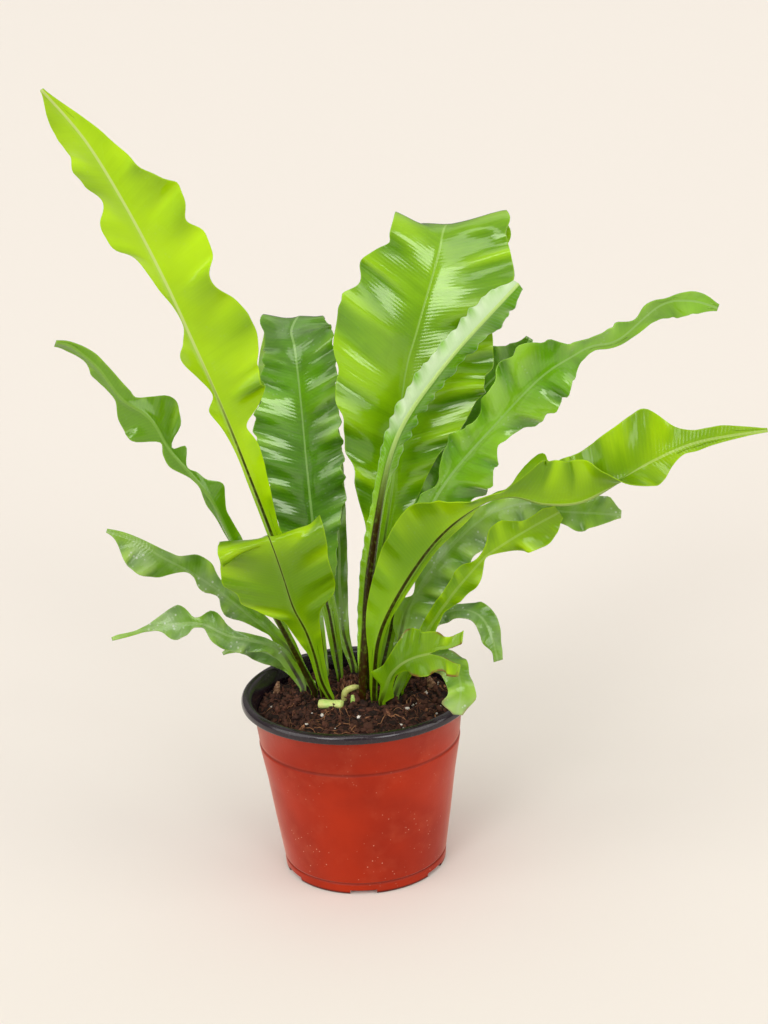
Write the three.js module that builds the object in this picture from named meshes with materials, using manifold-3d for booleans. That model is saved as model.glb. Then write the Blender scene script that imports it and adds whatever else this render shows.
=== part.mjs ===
// A bird's-nest fern with long undivided fronds, rooted in a round plastic nursery pot.
// Millimetres, Z up. The pot stands on Z = 0 with its axis on the Z axis; the plant's front faces -Y.

import * as THREE from 'three';
import { mergeVertices } from 'three/addons/utils/BufferGeometryUtils.js';
import Module from 'manifold-3d';

const wasm = await Module();
wasm.setup();

// Driving dimensions of the pot
const potHeight = 112;
const rimRadius = 70;
const rimDrop = 5.5;
const rimThickness = 1.8;
const bodyTopRadius = 63.2;
const shoulderHeight = 83;
const shoulderRadius = 61;
const shoulderStep = 0.8;
const footRadius = 49.5;
const footHeight = 7;
const footGroove = 0.7;
const wall = 1.8;
const floorThickness = 5;
const potSides = 40;
const notchCount = 6;
const notchWidth = 16;
const notchHeight = 2.8;
const notchDepth = 4;
const notchStart = -92;

// Driving dimensions of the compost and of the gap left around everything that stands in it
const gap = 0.3;
const soilCentreHeight = 103;
const soilWallHeight = 101;
const soilBump = 0.6;
const soilRings = 6;

// Driving dimensions of the frond stalks
const stalkRadius = 2.4;
const holeRadius = 2.9;
const holeSides = 12;
const pegDepth = 9;
const firstRing = 7;
const bladeEdge = 0.8;
const ribHalfWidth = 2;
const ribBase = 4.4;
const ribTip = 1.2;
const waveStart = 0.2;
const waveLean = 0.035;

// Rootstock and small things on the compost
const crown = { x: -5, y: 18, radius: 7.8, bottom: 98, top: 110 };
const stub = { x: -16, y: -7, z: 105.2, length: 15, radius: 3.1, turn: -12 };
const chips = [
  { x: -50, y: 22, width: 4, thickness: 1.6, height: 12, lean: 12 },
  { x: 45, y: 20, width: 5, thickness: 1.6, height: 11, lean: -14 },
];
const chipSink = 4;

// Every frond, measured in the photo: its midrib from the foot in the compost to the tip, the direction
// from its right to its left margin, the width of each half and the angle each half is folded up,
// all at equal steps from foot to tip, and the waves of its margins.
const fronds = [
  // Tallest frond, leaning left and forward, underside to the front
  {
    name: 'tall_left',
    colour: 0x9ccb1f,
    steps: 31,
    spine: [[-20, 8, 104.5], [-29, 8, 148], [-40, 3, 194], [-54, -6, 247], [-67, -18, 295],
      [-79, -28, 334], [-90, -36, 368], [-106, -46, 410], [-124, -54, 448], [-143, -60, 475]],
    across: [[0.9, -0.3, 0.3], [0.85, -0.4, 0.35], [0.8, -0.45, 0.4], [0.8, -0.45, 0.45]],
    left: [2, 2.7, 3.1, 3, 2.9, 3.4, 4.1, 4.8, 5.4, 6.3, 5.3, 6.6, 8.2, 9.7, 11.6, 12.5, 9, 20.3,
      28.9, 29.5, 34.1, 37.4, 35.1, 29, 26.7, 30.7, 32.1, 26.8, 31.9, 30.6, 19.9, 13.5, 10.4, 6.9,
      3.4, 0.8],
    right: [2, 2.7, 3.1, 3, 3, 2.9, 3.1, 3.8, 4.1, 4, 4, 4, 4, 4, 3.8, 4.6, 6.9, 11.2, 3.6, 8.9,
      16.3, 8.7, 2.2, 3.5, 8.3, 11.6, 16.1, 25.2, 24.3, 15.9, 19.9, 21.4, 17.4, 14.8, 9.9, 1],
    foldLeft: [5, 5, 8, 8],
    foldRight: [10, 10, 14, 10],
    waves: { count: 7, height: 3, left: 0.1, right: 0.5 },
  },
  // Dark pleated frond, upright, its top bent over backward
  {
    name: 'dark_upright',
    colour: 0x3f7d2a,
    steps: 20,
    spine: [[-11, 36, 104.5], [-15, 39, 142], [-21, 42, 180], [-24, 48, 230], [-26, 56, 278],
      [-28, 66, 306], [-30, 78, 316], [-24, 94, 320], [-22, 106, 286]],
    across: [[-1, 0.05, 0], [-1, 0.05, -0.1]],
    left: [2, 2.8, 3.5, 3.8, 4, 4.3, 5.3, 7.2, 9.7, 14.1, 19.2, 22.7, 24.7, 24.9, 25.1, 28.5, 30.1,
      29.7, 27.2, 21.9, 22.4, 19.7, 18.3, 17.5, 21.8, 24, 22, 18, 10, 3],
    right: [2, 3, 4.1, 4.6, 5.1, 5.4, 6.2, 10.3, 12.5, 14.3, 16.5, 19.8, 22.3, 22.8, 23.3, 23.6,
      23.9, 24, 23.9, 23.8, 24.1, 24.5, 23.6, 24.3, 23.7, 15, 13, 11, 8, 3],
    foldLeft: [15, 15, 15, 15, 15, 8, -5, -5],
    foldRight: [15, 15, 15, 15, 15, 8, -5, -5],
    waves: { count: 9, height: 2.5, left: 0, right: 0.4 },
  },
  // Broadest frond, glossy and pleated, its top bent over backward
  {
    name: 'centre_big',
    colour: 0x63b02c,
    steps: 27,
    spine: [[6, 17, 104.5], [10, 26, 139], [18, 34, 181], [28, 42, 232], [37, 50, 289],
      [46, 54, 318], [59, 62, 356], [65, 74, 374], [70, 92, 370], [76, 108, 340]],
    across: [[-1, 0, 0], [-1, 0, -0.1], [-0.97, 0, -0.22], [-0.95, 0, -0.12]],
    left: [2, 2.5, 3.1, 3.7, 4.5, 5.7, 7.6, 7.5, 9.5, 11.4, 14.8, 18.5, 22.4, 26.4, 30.2, 33.3,
      36.4, 39.4, 41.7, 43.7, 46.6, 48.7, 49.9, 42.2, 44.1, 38.5, 30.5, 29.6, 31.8, 34.6, 39.2, 33,
      22, 4],
    right: [2, 2.6, 3, 3, 3.2, 3.8, 4.8, 9.8, 10.3, 10.8, 12.3, 14.1, 16.9, 20.1, 25, 31.2, 38.2,
      43.7, 47.9, 48.6, 48.6, 48.3, 46.6, 44.8, 47.1, 47.1, 44.6, 40.7, 38, 35.3, 33.2, 33, 22, 4],
    foldLeft: [14, 14, 14, 14, 14, 12, 18, 24],
    foldRight: [14, 14, 14, 14, 14, 12, -3, -14],
    waves: { count: 6.5, height: 5, left: 0.2, right: 0.6 },
  },
  // Young frond still folded lengthwise, in front of the broadest one
  {
    name: 'young_centre',
    colour: 0x9fca45,
    steps: 18,
    spine: [[2.5, 0, 104.5], [7, 2, 142], [9, 4, 166], [12, 6, 188], [17, 10, 214], [23, 13, 241],
      [30, 15, 261], [39, 16, 277], [52, 17, 294], [66, 19, 310], [81, 22, 325], [95, 26, 338],
      [105, 30, 347]],
    across: [[0.95, 0, -0.1], [0.95, 0, -0.1], [0.8, 0, -0.5]],
    left: [2, 2, 2, 2.3, 2.6, 2.8, 3, 3, 3.2, 3.6, 5, 8, 10.5, 11.5, 12, 12, 12.5, 13, 14, 15, 12, 5],
    right: [2, 3, 5, 6, 6.5, 6.5, 7, 7, 7, 6.5, 6.5, 7.5, 9.5, 11, 12, 12.5, 13, 13, 13, 13, 11, 4],
    foldLeft: [20, 25, 30, 45, 50, 50, 50, 35],
    foldRight: [20, 25, 30, 40, 48, 50, 50, 40],
    waves: { count: 7, height: 1.5, left: 0, right: 0.4 },
  },
  // Dark frond to the upper right with a twisted tip
  {
    name: 'right_upper',
    colour: 0x4d8f2c,
    steps: 27,
    spine: [[13, 24, 104.5], [20, 22, 133], [29, 20, 169], [43, 20, 206], [60, 20, 235],
      [91, 20, 269], [116, 22, 293], [137, 26, 305], [147, 28, 309], [163, 30, 312],
      [187, 32, 330], [205, 32, 332], [221, 32, 327]],
    across: [[-0.9, 0.1, 0.2], [-0.7, -0.1, 0.7], [-0.7, -0.1, 0.7], [-0.7, -0.1, 0.7],
      [-0.5, -0.4, 0.7], [-0.3, -0.1, 0.9]],
    left: [2, 2.4, 2.9, 3.4, 3.8, 4.3, 4.7, 5.2, 5.6, 6.1, 7, 8, 9.2, 3.7, 9.3, 13.8, 15.4, 10.9,
      14, 20, 22.3, 24.3, 23, 15.5, 8.9, 6.3, 11.3, 10.5, 3.8, 7.1, 2.9, 5.7, 5.5, 2.2],
    right: [2, 2.4, 2.9, 3.4, 3.8, 4.2, 4.6, 5.4, 6.5, 8.5, 12.2, 16, 19.5, 21.9, 25.9, 21.8, 17,
      10.5, 12.1, 18.8, 19.4, 19.2, 18.2, 14.5, 7.2, 3.8, 4, 4.7, 5.7, 7.2, 11.4, 9.8, 6.6, 2.1],
    foldLeft: [8, 8],
    foldRight: [8, 8],
    waves: { count: 6, height: 4, left: 0, right: 0.5 },
  },
  // Dark frond behind the one to the upper right
  {
    name: 'right_behind',
    colour: 0x2f6a20,
    steps: 11,
    spine: [[6, 32, 104.5], [16, 42, 125], [28, 56, 166], [50, 64, 208], [70, 69, 251],
      [85, 72, 275], [107, 74, 294], [115, 74, 305]],
    across: [[-0.8, 0, 0.5], [-0.7, 0, 0.7]],
    left: [2, 3, 4, 6, 10, 14, 17, 22, 24, 18, 3],
    right: [2, 3, 4, 6, 10, 14, 17, 18, 17, 12, 2],
    foldLeft: [8, 8],
    foldRight: [8, 8],
    waves: { count: 6, height: 2, left: 0, right: 0.5 },
  },
  // Long bright frond to the right, turned over half way, its near half folded up
  {
    name: 'right_long',
    colour: 0x93c61f,
    steps: 26,
    spine: [[9.5, 2, 104.5], [14, -4, 144], [28, -10, 176], [50, -20, 210], [74, -30, 233],
      [93, -38, 240], [111, -46, 237], [130, -52, 239], [149, -54, 249], [169, -52, 260],
      [196, -48, 269], [234, -46, 273]],
    across: [[1, 0, 0], [0.95, 0.05, -0.2], [0.85, 0.1, -0.5], [0.7, 0.15, -0.7],
      [0.6, 0.3, -0.75], [0.1, 0.98, 0], [0, 0.6, 0.8], [0, 0.5, 0.85], [-0.1, 0.4, 0.9],
      [-0.1, 0.4, 0.9], [-0.1, 0.4, 0.9]],
    left: [2, 1.9, 2, 2.5, 3, 3, 3, 3.4, 4, 4.6, 5, 5.1, 5, 4.9, 5, 5.4, 6, 6.6, 7, 6.9, 7, 7.9,
      29.9, 24.4, 23.5, 25.1, 25.9, 25.9, 25.6, 26.1, 26.4, 26.7, 28, 27.3, 13.2, 7.5, 6.6, 6.5,
      4.9, 3.2, 1.5],
    right: [2, 2.4, 3, 3.8, 5, 7.3, 10, 12.6, 15, 17.1, 19, 21.1, 23, 24.2, 25, 25.8, 25, 19.6, 14,
      11.4, 8, 6, 14, 28, 27, 26, 25, 24, 21, 16, 12, 14, 12, 7, 4, 4.6, 3.6, 2.7, 1.9, 1.1, 0.8],
    foldLeft: [5, 5, 5, 5, 10, 10, 5, 5],
    foldRight: [5, 5, 5, 5, 5, 5, 5, 5, 5, 10, 30, 90, 135, 145, 135, 50, 0, 0, 0, 0, 0],
    waves: { count: 4, height: 1, left: 0, right: 0.5 },
  },
  // Dusty arching frond, low on the right
  {
    name: 'right_low',
    colour: 0x6f9c4c,
    steps: 17,
    spine: [[18, 16, 104.5], [27, 14, 136], [33, 13, 157], [46, 10, 179], [61, 7, 197],
      [75, 4, 211], [89, 0, 220], [106, -6, 225], [120, -10, 221], [137, -14, 220], [157, -18, 219]],
    across: [[-0.8, 0.3, 0.2], [-0.7, 0.4, 0.4], [-0.5, 0.5, 0.7], [-0.3, 0.5, 0.8], [0, 0.6, 0.8]],
    left: [2, 2.7, 3.6, 0.8, 0.8, 6.1, 6.9, 7.7, 1.3, 4, 7.8, 8.8, 7.8, 6.8, 7.1, 7.6, 7.8, 6.6,
      6.6, 5.5, 5.4, 4.8, 5.7, 4.4, 7.2, 10.7, 11, 2.8],
    right: [2, 2.7, 3.7, 7.2, 8.5, 10.2, 12.6, 13.8, 14.2, 14.9, 15.8, 16.2, 16, 15.4, 15, 14.9,
      14, 12.6, 11.5, 9.7, 9.9, 9, 6.2, 7.6, 11.2, 8.9, 5.4, 1.7],
    foldLeft: [5, 5],
    foldRight: [5, 5],
    waves: { count: 4, height: 3, left: 0, right: 0.5 },
  },
  // Second low frond on the right, waved strongly
  {
    name: 'right_low_second',
    colour: 0x7fba2a,
    steps: 16,
    spine: [[25, 9, 104.5], [39, 2, 137], [50, -4, 158], [60, -8, 173], [69, -11, 185],
      [78, -14, 196], [87, -16, 203], [105, -20, 215], [121, -22, 224]],
    across: [[-0.8, 0.3, 0.2], [-0.6, 0.2, 0.7], [-0.5, 0, 0.8], [-0.5, 0, 0.8]],
    left: [2, 2.4, 2.9, 3.3, 3.7, 5.3, 5, 5, 5.2, 5.3, 5.3, 5.6, 5.8, 6.3, 7.2, 6.9, 3.2, 3.2, 6.8,
      11.8, 12.4, 8.3, 5.9, 6.1, 6.8, 5.3],
    right: [2, 2.4, 2.9, 3.3, 3.6, 4.5, 5.1, 4.7, 4, 3.2, 2.5, 4.4, 6.1, 6.8, 7.8, 7.3, 4, 0.8,
      2.5, 5.8, 9.5, 11.4, 12.1, 12.4, 9.9, 4.6],
    foldLeft: [5, 5],
    foldRight: [5, 5],
    waves: { count: 3.5, height: 4, left: 0, right: 0.3 },
  },
  // Short frond on the right, arching over and hanging
  {
    name: 'right_droop',
    colour: 0x5f8f40,
    steps: 11,
    spine: [[27, 20, 104.5], [33, 20, 127], [45, 15, 146], [59, 8, 155], [70, 1, 157],
      [77, -4, 153], [81, -8, 144], [84, -12, 130]],
    across: [[-0.8, 0.3, 0.2], [-0.5, 0.5, 0.7], [0.2, 0.5, 0.8], [0.8, 0.4, 0.4], [0.9, 0.3, 0.2]],
    left: [2, 2.5, 3, 3, 5.4, 4.5, 4.3, 4.8, 4.6, 4, 4.3, 4.5, 5, 7.1, 7.7, 7.1, 6.7, 5.5, 4.5, 3.4],
    right: [2, 2.5, 3, 3.1, 3, 7.3, 7.8, 7.9, 7.4, 5.5, 5.8, 5.8, 6.4, 6.1, 5.8, 6.1, 6, 6, 2.1, 2.5],
    foldLeft: [5, 5],
    foldRight: [5, 5],
    waves: { count: 3, height: 2, left: 0, right: 0.3 },
  },
  // Small bitten frond flopping forward over the compost
  {
    name: 'front_right_small',
    colour: 0x7fc02f,
    steps: 12,
    spine: [[14, -6, 104.5], [17, -13, 115], [22, -22, 130], [32, -33, 142], [46, -47, 151],
      [61, -58, 154]],
    across: [[-0.7, 0.3, 0.6], [-0.6, 0.3, 0.7], [-0.1, 0.4, 0.9], [0.05, 0.4, 0.9],
      [0.05, 0.4, 0.9]],
    left: [2, 2.3, 2.8, 3.5, 4.7, 12, 9.9, 8.2, 7.8, 8, 9.1, 10.7, 13.4, 17.9, 17.5, 16.1, 14.3,
      12.8, 12.6, 11.9, 9.6, 9.6, 11.9, 13.6],
    right: [2, 3, 4.5, 6.2, 5, 4, 3.5, 3.2, 2.8, 3.4, 3.8, 4.7, 6.4, 9.1, 10.8, 12, 12.3, 11.9,
      10.8, 10.3, 10.3, 12.2, 13.4, 12.5],
    foldLeft: [5, 5],
    foldRight: [5, 5],
    waves: { count: 3, height: 3, left: 0, right: 0.5 },
    bite: 0.25,
  },
  // Dusty frond hanging over the rim at the right
  {
    name: 'front_right_under',
    colour: 0x6f9f48,
    steps: 9,
    spine: [[22, 1, 104.5], [31, -6, 126], [44, -18, 137], [55, -38, 142], [60, -51, 132],
      [57, -55, 116]],
    across: [[-0.8, 0.3, 0.2], [-0.2, 0.6, 0.7], [0.6, 0.5, 0.5], [0.9, 0.2, 0], [0.95, 0.1, 0]],
    left: [2, 2.5, 3, 3, 3.1, 3.6, 4.1, 4.6, 5.4, 6.5, 7.3, 6.8, 7.2, 8.1, 7.8, 6.2, 7.8, 9.4, 6.4,
      3.6],
    right: [2, 2.5, 3, 3, 3.1, 3.5, 4.3, 5.3, 6.4, 7.1, 8.9, 10.8, 12.6, 13.2, 10.3, 8.6, 7.9, 7.7,
      9.9, 2.3],
    foldLeft: [5, 5],
    foldRight: [5, 5],
    waves: { count: 3, height: 2, left: 0, right: 0.5 },
  },
  // Short broad frond at the front left, its top bent back
  {
    name: 'front_left',
    colour: 0x8abf1a,
    steps: 15,
    spine: [[-15.5, 1.5, 104.5], [-21, -4, 120], [-24, -10, 139], [-28, -16, 157], [-34, -24, 175],
      [-38, -32, 196], [-42, -40, 216], [-45, -37, 222], [-50, -16, 212], [-51, -2, 196]],
    across: [[1, 0, 0.2], [1, -0.05, 0.2], [1, -0.05, 0.1]],
    left: [2, 2.5, 3.7, 4.6, 4.9, 5.6, 6.7, 8.2, 10.3, 14.7, 24.1, 27.1, 27.4, 27.8, 27.8, 29.3,
      30.6, 31.6, 34.3, 34, 33, 27, 16, 4],
    right: [2, 2.5, 3, 2.8, 3.1, 3.9, 6.1, 7.8, 9, 10.1, 20.3, 28.6, 29.4, 35.4, 35.6, 33.6, 32.3,
      30.4, 27.3, 25, 23, 19, 11, 4],
    foldLeft: [5, 5],
    foldRight: [5, 5],
    waves: { count: 3, height: 2, left: 0, right: 0.5 },
  },
  // Narrow twisted frond to the left
  {
    name: 'middle_left',
    colour: 0x7fb62a,
    steps: 30,
    spine: [[-26, 14, 104.5], [-39, 8, 140], [-53, 0, 177], [-68, -1, 209], [-77, -8, 235],
      [-87, -12, 252], [-99, -16, 270], [-108, -20, 290], [-122, -24, 303], [-133, -28, 322],
      [-146, -30, 335], [-154, -32, 338]],
    across: [[0.9, 0, 0.4], [0.8, -0.2, 0.5], [0.6, -0.6, 0.5], [0.8, -0.2, 0.5], [0.5, 0.5, 0.5],
      [0.5, -0.2, 0.8], [0.4, -0.3, 0.8]],
    left: [2, 2, 2, 1.9, 2.5, 3, 3, 3, 3, 2.9, 3.1, 3.8, 4.1, 4, 3.9, 4.2, 5.8, 5.4, 4.8, 4.6, 7.3,
      10.6, 5.2, 3.8, 1.1, 11.1, 2.4, 16.4, 21.6, 19.4, 10.1, 5.4, 6.5, 6.2, 5.5, 4.8, 4.9, 3.9,
      2.2, 1.3],
    right: [2, 2, 2, 2, 2, 2, 1.9, 2.3, 3, 3.1, 3, 3, 3, 3, 3.6, 4.1, 4, 4.1, 3.9, 4.5, 5.3, 3.6,
      0.9, 1.6, 4.1, 6.2, 4.7, 2.2, 13.8, 16.4, 17.2, 13.2, 4.7, 4.5, 6.8, 7.5, 3.9, 4.2, 5.6, 3.8],
    foldLeft: [20, 20],
    foldRight: [20, 20],
    waves: { count: 7, height: 2, left: 0, right: 0.5 },
  },
  // Dusty low frond on the left, the upper one
  {
    name: 'left_low_upper',
    colour: 0x5f8f48,
    steps: 21,
    spine: [[-25, 24, 104.5], [-32, 26, 109], [-42, 26, 130], [-63, 24, 152], [-79, 20, 169],
      [-95, 16, 184], [-113, 10, 198], [-125, 8, 208], [-142, 4, 217]],
    across: [[-0.9, 0, -0.3], [-0.6, -0.3, -0.7], [-0.4, -0.4, -0.8], [-0.4, -0.4, -0.8]],
    left: [2, 2.6, 3, 3, 3.4, 4, 5.7, 5, 3.7, 2.2, 2.9, 3.7, 4.6, 6, 8.2, 9.4, 7.5, 3.2, 3.8, 5.8,
      5.2, 1.6, 1, 3.4, 7.2, 11.6, 13.7, 16.5, 16, 15.1, 13.4, 6.9, 2.5, 0.8],
    right: [2, 2.6, 3.1, 3, 2.9, 3, 1.7, 2.7, 4.1, 4.8, 5.4, 6, 6.3, 6, 5.6, 5.5, 5.4, 5.8, 6.3,
      8.2, 10.9, 11.8, 11.2, 8.1, 5.3, 4.9, 4.5, 4, 3.2, 2.7, 2.7, 2.7, 2.3, 1.6],
    foldLeft: [5, 5],
    foldRight: [5, 5],
    waves: { count: 4, height: 1.5, left: 0, right: 0.5 },
  },
  // Dusty low frond on the left, the lower one
  {
    name: 'left_low_lower',
    colour: 0x648f4c,
    steps: 24,
    spine: [[-33, 20, 104.5], [-39, 18, 119], [-46, 14, 133], [-56, 10, 140], [-76, 4, 148],
      [-92, 0, 158], [-112, -6, 160], [-133, -12, 158], [-142, -14, 156]],
    across: [[-0.9, 0, -0.3], [-0.5, -0.4, -0.7], [-0.2, -0.5, -0.8], [-0.1, -0.5, -0.8]],
    left: [2, 2.5, 3.1, 3.7, 3.9, 4.2, 4.4, 4.6, 5.2, 5.4, 5.1, 4.6, 5.7, 6.6, 7.4, 8.1, 8.8, 8.5,
      8.3, 7.9, 7.2, 4.6, 2, 2.4, 3.2, 7, 8.3, 9.4, 8.3, 4.1, 2.2, 1.7, 1.3, 1.5, 1.6, 1.6, 1.3, 0.8],
    right: [2, 2.5, 3.1, 3.7, 4.1, 3.6, 3.2, 2.9, 3, 2.7, 2.6, 3.2, 3.6, 3.6, 3.8, 4, 4, 4.1, 5.6,
      6.6, 8, 9.5, 8.9, 4.3, 3.6, 8.5, 11.4, 10.2, 8.2, 6.2, 4.3, 2.6, 1.7, 0.9, 0.8, 1, 1.4, 1.2],
    foldLeft: [5, 5],
    foldRight: [5, 5],
    waves: { count: 5, height: 1.5, left: 0, right: 0.5 },
  },
  // Short low frond behind the lower left one
  {
    name: 'left_back_low',
    colour: 0x56853c,
    steps: 6,
    spine: [[-32, 32, 104.5], [-38, 36, 108], [-46, 40, 115], [-59, 42, 122], [-72, 40, 127],
      [-83, 38, 123]],
    across: [[-0.8, 0, -0.5], [-0.5, -0.4, -0.8], [-0.2, -0.5, -0.8]],
    left: [2, 3, 4, 5, 6, 7, 7, 6, 5, 3, 1],
    right: [2, 3, 4, 5, 6, 6, 6, 6, 4, 2, 1],
    foldLeft: [5, 5],
    foldRight: [5, 5],
    waves: { count: 3, height: 2, left: 0, right: 0.5 },
  },
  // Grey-green frond at the back, leaning left
  {
    name: 'left_back_sliver',
    colour: 0x8aa878,
    steps: 8,
    spine: [[-20, 42, 104.5], [-25, 62, 147], [-35, 88, 218], [-42, 100, 268], [-46, 110, 314]],
    across: [[-0.9, 0, -0.3], [-0.9, 0, -0.3]],
    left: [2, 3, 4, 6, 9, 12, 13, 13, 12, 9, 2],
    right: [2, 3, 4, 6, 9, 12, 13, 13, 12, 9, 2],
    foldLeft: [5, 5],
    foldRight: [5, 5],
    waves: { count: 3, height: 2, left: 0, right: 0.5 },
  },
  // Narrow frond at the back
  {
    name: 'back_centre',
    colour: 0x4f7f38,
    steps: 7,
    spine: [[-2, 45, 104.5], [-7, 56, 121], [-9, 62, 146], [-8, 70, 183], [-8, 80, 226],
      [-8, 86, 263]],
    across: [[-1, 0, 0], [-1, 0, 0]],
    left: [2, 3, 4, 5, 5, 5, 5, 5, 5, 4, 1],
    right: [2, 3, 4, 5, 5, 5, 5, 5, 5, 4, 1],
    foldLeft: [10, 10],
    foldRight: [10, 10],
    waves: { count: 5, height: 2, left: 0, right: 0.5 },
  },
  // Narrow low frond at the back right
  {
    name: 'back_right_low',
    colour: 0x5a8a40,
    steps: 6,
    spine: [[14, 36, 104.5], [16, 42, 107], [21, 48, 119], [29, 54, 134], [38, 60, 146]],
    across: [[-0.8, 0, 0.3], [-0.8, 0, 0.5]],
    left: [2, 2.5, 3, 4, 5, 6, 8, 8, 8, 6, 1],
    right: [2, 2.5, 3, 4, 6, 8, 9, 9, 8, 6, 1],
    foldLeft: [10, 10],
    foldRight: [10, 10],
    waves: { count: 5, height: 2, left: 0, right: 0.5 },
  },
];

// Dead curled stalk beside the rootstock and a new sprout: middle line and radius from foot to tip
const curledStub = {
  path: [[-8, 6, 99], [-8, 6, 104], [-7, 5, 108], [-3, 4, 110.5], [1, 6, 110]],
  radius: [1.8, 1.8, 1.5, 1.2, 0.8],
  steps: 8,
};
const sprout = {
  path: [[-3, -4, 99], [-3, -4, 105], [-3, -4, 109]],
  radius: [1.6, 1.5, 0.9],
  steps: 4,
};

// Small helpers
const rad = THREE.MathUtils.degToRad;

function vec(values) {
  return new THREE.Vector3(values[0], values[1], values[2]);
}

// Smooth curve value through equally spaced numbers or points, u from 0 to 1
function smooth(list, u) {
  const last = list.length - 1;
  const place = THREE.MathUtils.clamp(u, 0, 1) * last;
  const index = Math.min(Math.floor(place), last - 1);
  const f = place - index;
  const at = (k) => list[THREE.MathUtils.clamp(k, 0, last)];
  const mix = (a, b, c, d) =>
    0.5 * (2 * b + (c - a) * f + (2 * a - 5 * b + 4 * c - d) * f * f + (3 * b - a - 3 * c + d) * f * f * f);
  const [a, b, c, d] = [at(index - 1), at(index), at(index + 1), at(index + 2)];
  if (typeof b === 'number') return mix(a, b, c, d);
  return b.map((_, k) => mix(a[k], b[k], c[k], d[k]));
}

// Midrib of a frond with positions spread evenly by length
function midrib(spine) {
  const samples = 400;
  const points = [];
  const lengths = [0];
  for (let i = 0; i <= samples; i += 1) {
    points.push(vec(smooth(spine, i / samples)));
    if (i > 0) lengths.push(lengths[i - 1] + points[i].distanceTo(points[i - 1]));
  }
  const total = lengths[samples];
  const parameter = (u) => {
    const wanted = u * total;
    let i = 1;
    while (i < samples && lengths[i] < wanted) i += 1;
    return (i - 1 + (wanted - lengths[i - 1]) / (lengths[i] - lengths[i - 1])) / samples;
  };
  const centre = (u) => vec(smooth(spine, parameter(u)));
  const along = (u) => {
    const t = parameter(u);
    const ahead = vec(smooth(spine, Math.min(t + 0.001, 1)));
    return ahead.sub(vec(smooth(spine, Math.max(t - 0.001, 0)))).normalize();
  };
  return { total, centre, along };
}

// Point of the blade's middle surface, v from +1 (left margin) to -1 (right margin)
function bladePoint(frond, rib, uFull, v) {
  const bite = (frond.bite || 0) * Math.max(0, 1 - Math.abs(v) / 0.45);
  const u = uFull * (1 - bite);
  const along = rib.along(u);
  const across = vec(smooth(frond.across, u));
  across.addScaledVector(along, -across.dot(along)).normalize();
  const up = new THREE.Vector3().crossVectors(along, across);
  const side = v > 0 ? 'left' : 'right';
  const half = Math.max(smooth(frond[side], u), 0.6);
  const fold = rad(smooth(v > 0 ? frond.foldLeft : frond.foldRight, u));
  const widest = Math.max(...frond.left, ...frond.right);
  const strength = THREE.MathUtils.clamp((half / widest) * (1 + waveStart * 1.25) - waveStart, 0, 1);
  const phase = frond.waves[side];
  const reach = Math.abs(v);
  const turn = 2 * Math.PI * (frond.waves.count * (u - waveLean * reach) + phase);
  const wave = frond.waves.height * strength * reach ** 1.5 * Math.sin(turn);
  const point = rib.centre(u);
  point.addScaledVector(across, Math.sign(v) * half * reach * Math.cos(fold));
  point.addScaledVector(up, half * reach * Math.sin(fold) + wave);
  return point;
}

// Direction square to the blade at a point, on its upper side
function bladeNormal(frond, rib, u, v) {
  const step = 0.004;
  const low = Math.max(u - step, 0);
  const high = Math.min(u + step, 1);
  const alongStep = bladePoint(frond, rib, high, v).sub(bladePoint(frond, rib, low, v));
  const toLeft = bladePoint(frond, rib, u, Math.min(v + 0.04, 1));
  const acrossStep = toLeft.sub(bladePoint(frond, rib, u, Math.max(v - 0.04, -1)));
  return alongStep.cross(acrossStep).normalize();
}

// Places across the blade where its section has a corner: margins, half way, and both sides of the rib
function sectionPlaces(frond, u) {
  const nearLeft = Math.min(ribHalfWidth / smooth(frond.left, u), 0.4);
  const nearRight = Math.min(ribHalfWidth / smooth(frond.right, u), 0.4);
  return [1, 0.66, nearLeft, 0, -nearRight, -0.66, -1];
}

// One closed loop of points round the blade: upper face from left to right, then the underside back
function bladeRing(frond, rib, u) {
  const upper = [];
  const lower = [];
  const ribHeight = THREE.MathUtils.lerp(ribBase, ribTip, Math.sqrt(u));
  for (const v of sectionPlaces(frond, u)) {
    const half = Math.max(smooth(v > 0 ? frond.left : frond.right, u), 0.6);
    const away = (Math.abs(v) * half) / ribHalfWidth;
    const keel = (ribHeight - bladeEdge) * Math.exp(-away * away);
    const point = bladePoint(frond, rib, u, v);
    const normal = bladeNormal(frond, rib, u, v);
    upper.push(point.clone().addScaledVector(normal, bladeEdge / 2 + keel * 0.35));
    lower.unshift(point.clone().addScaledVector(normal, -bladeEdge / 2 - keel * 0.65));
  }
  return [...upper, ...lower];
}

// The round end of the stalk that stands in its hole, as a loop with as many points as the blade's
function pegRing(frond, rib, height) {
  const foot = vec(frond.spine[0]);
  const across = vec(frond.across[0]).setZ(0).normalize();
  const up = new THREE.Vector3(-across.y, across.x, 0).negate();
  const towardTip = rib.along(0.1);
  const upper = new THREE.Vector3().crossVectors(towardTip, across);
  if (up.dot(upper) < 0) up.negate();
  const places = [6, 34, 62, 90, 118, 146, 174];
  const angles = [...places, ...places.map((angle) => -angle).reverse()];
  return angles.map((angle) => {
    const point = new THREE.Vector3(foot.x, foot.y, height);
    point.addScaledVector(across, stalkRadius * Math.cos(rad(angle)));
    return point.addScaledVector(up, stalkRadius * Math.sin(rad(angle)));
  });
}

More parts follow.
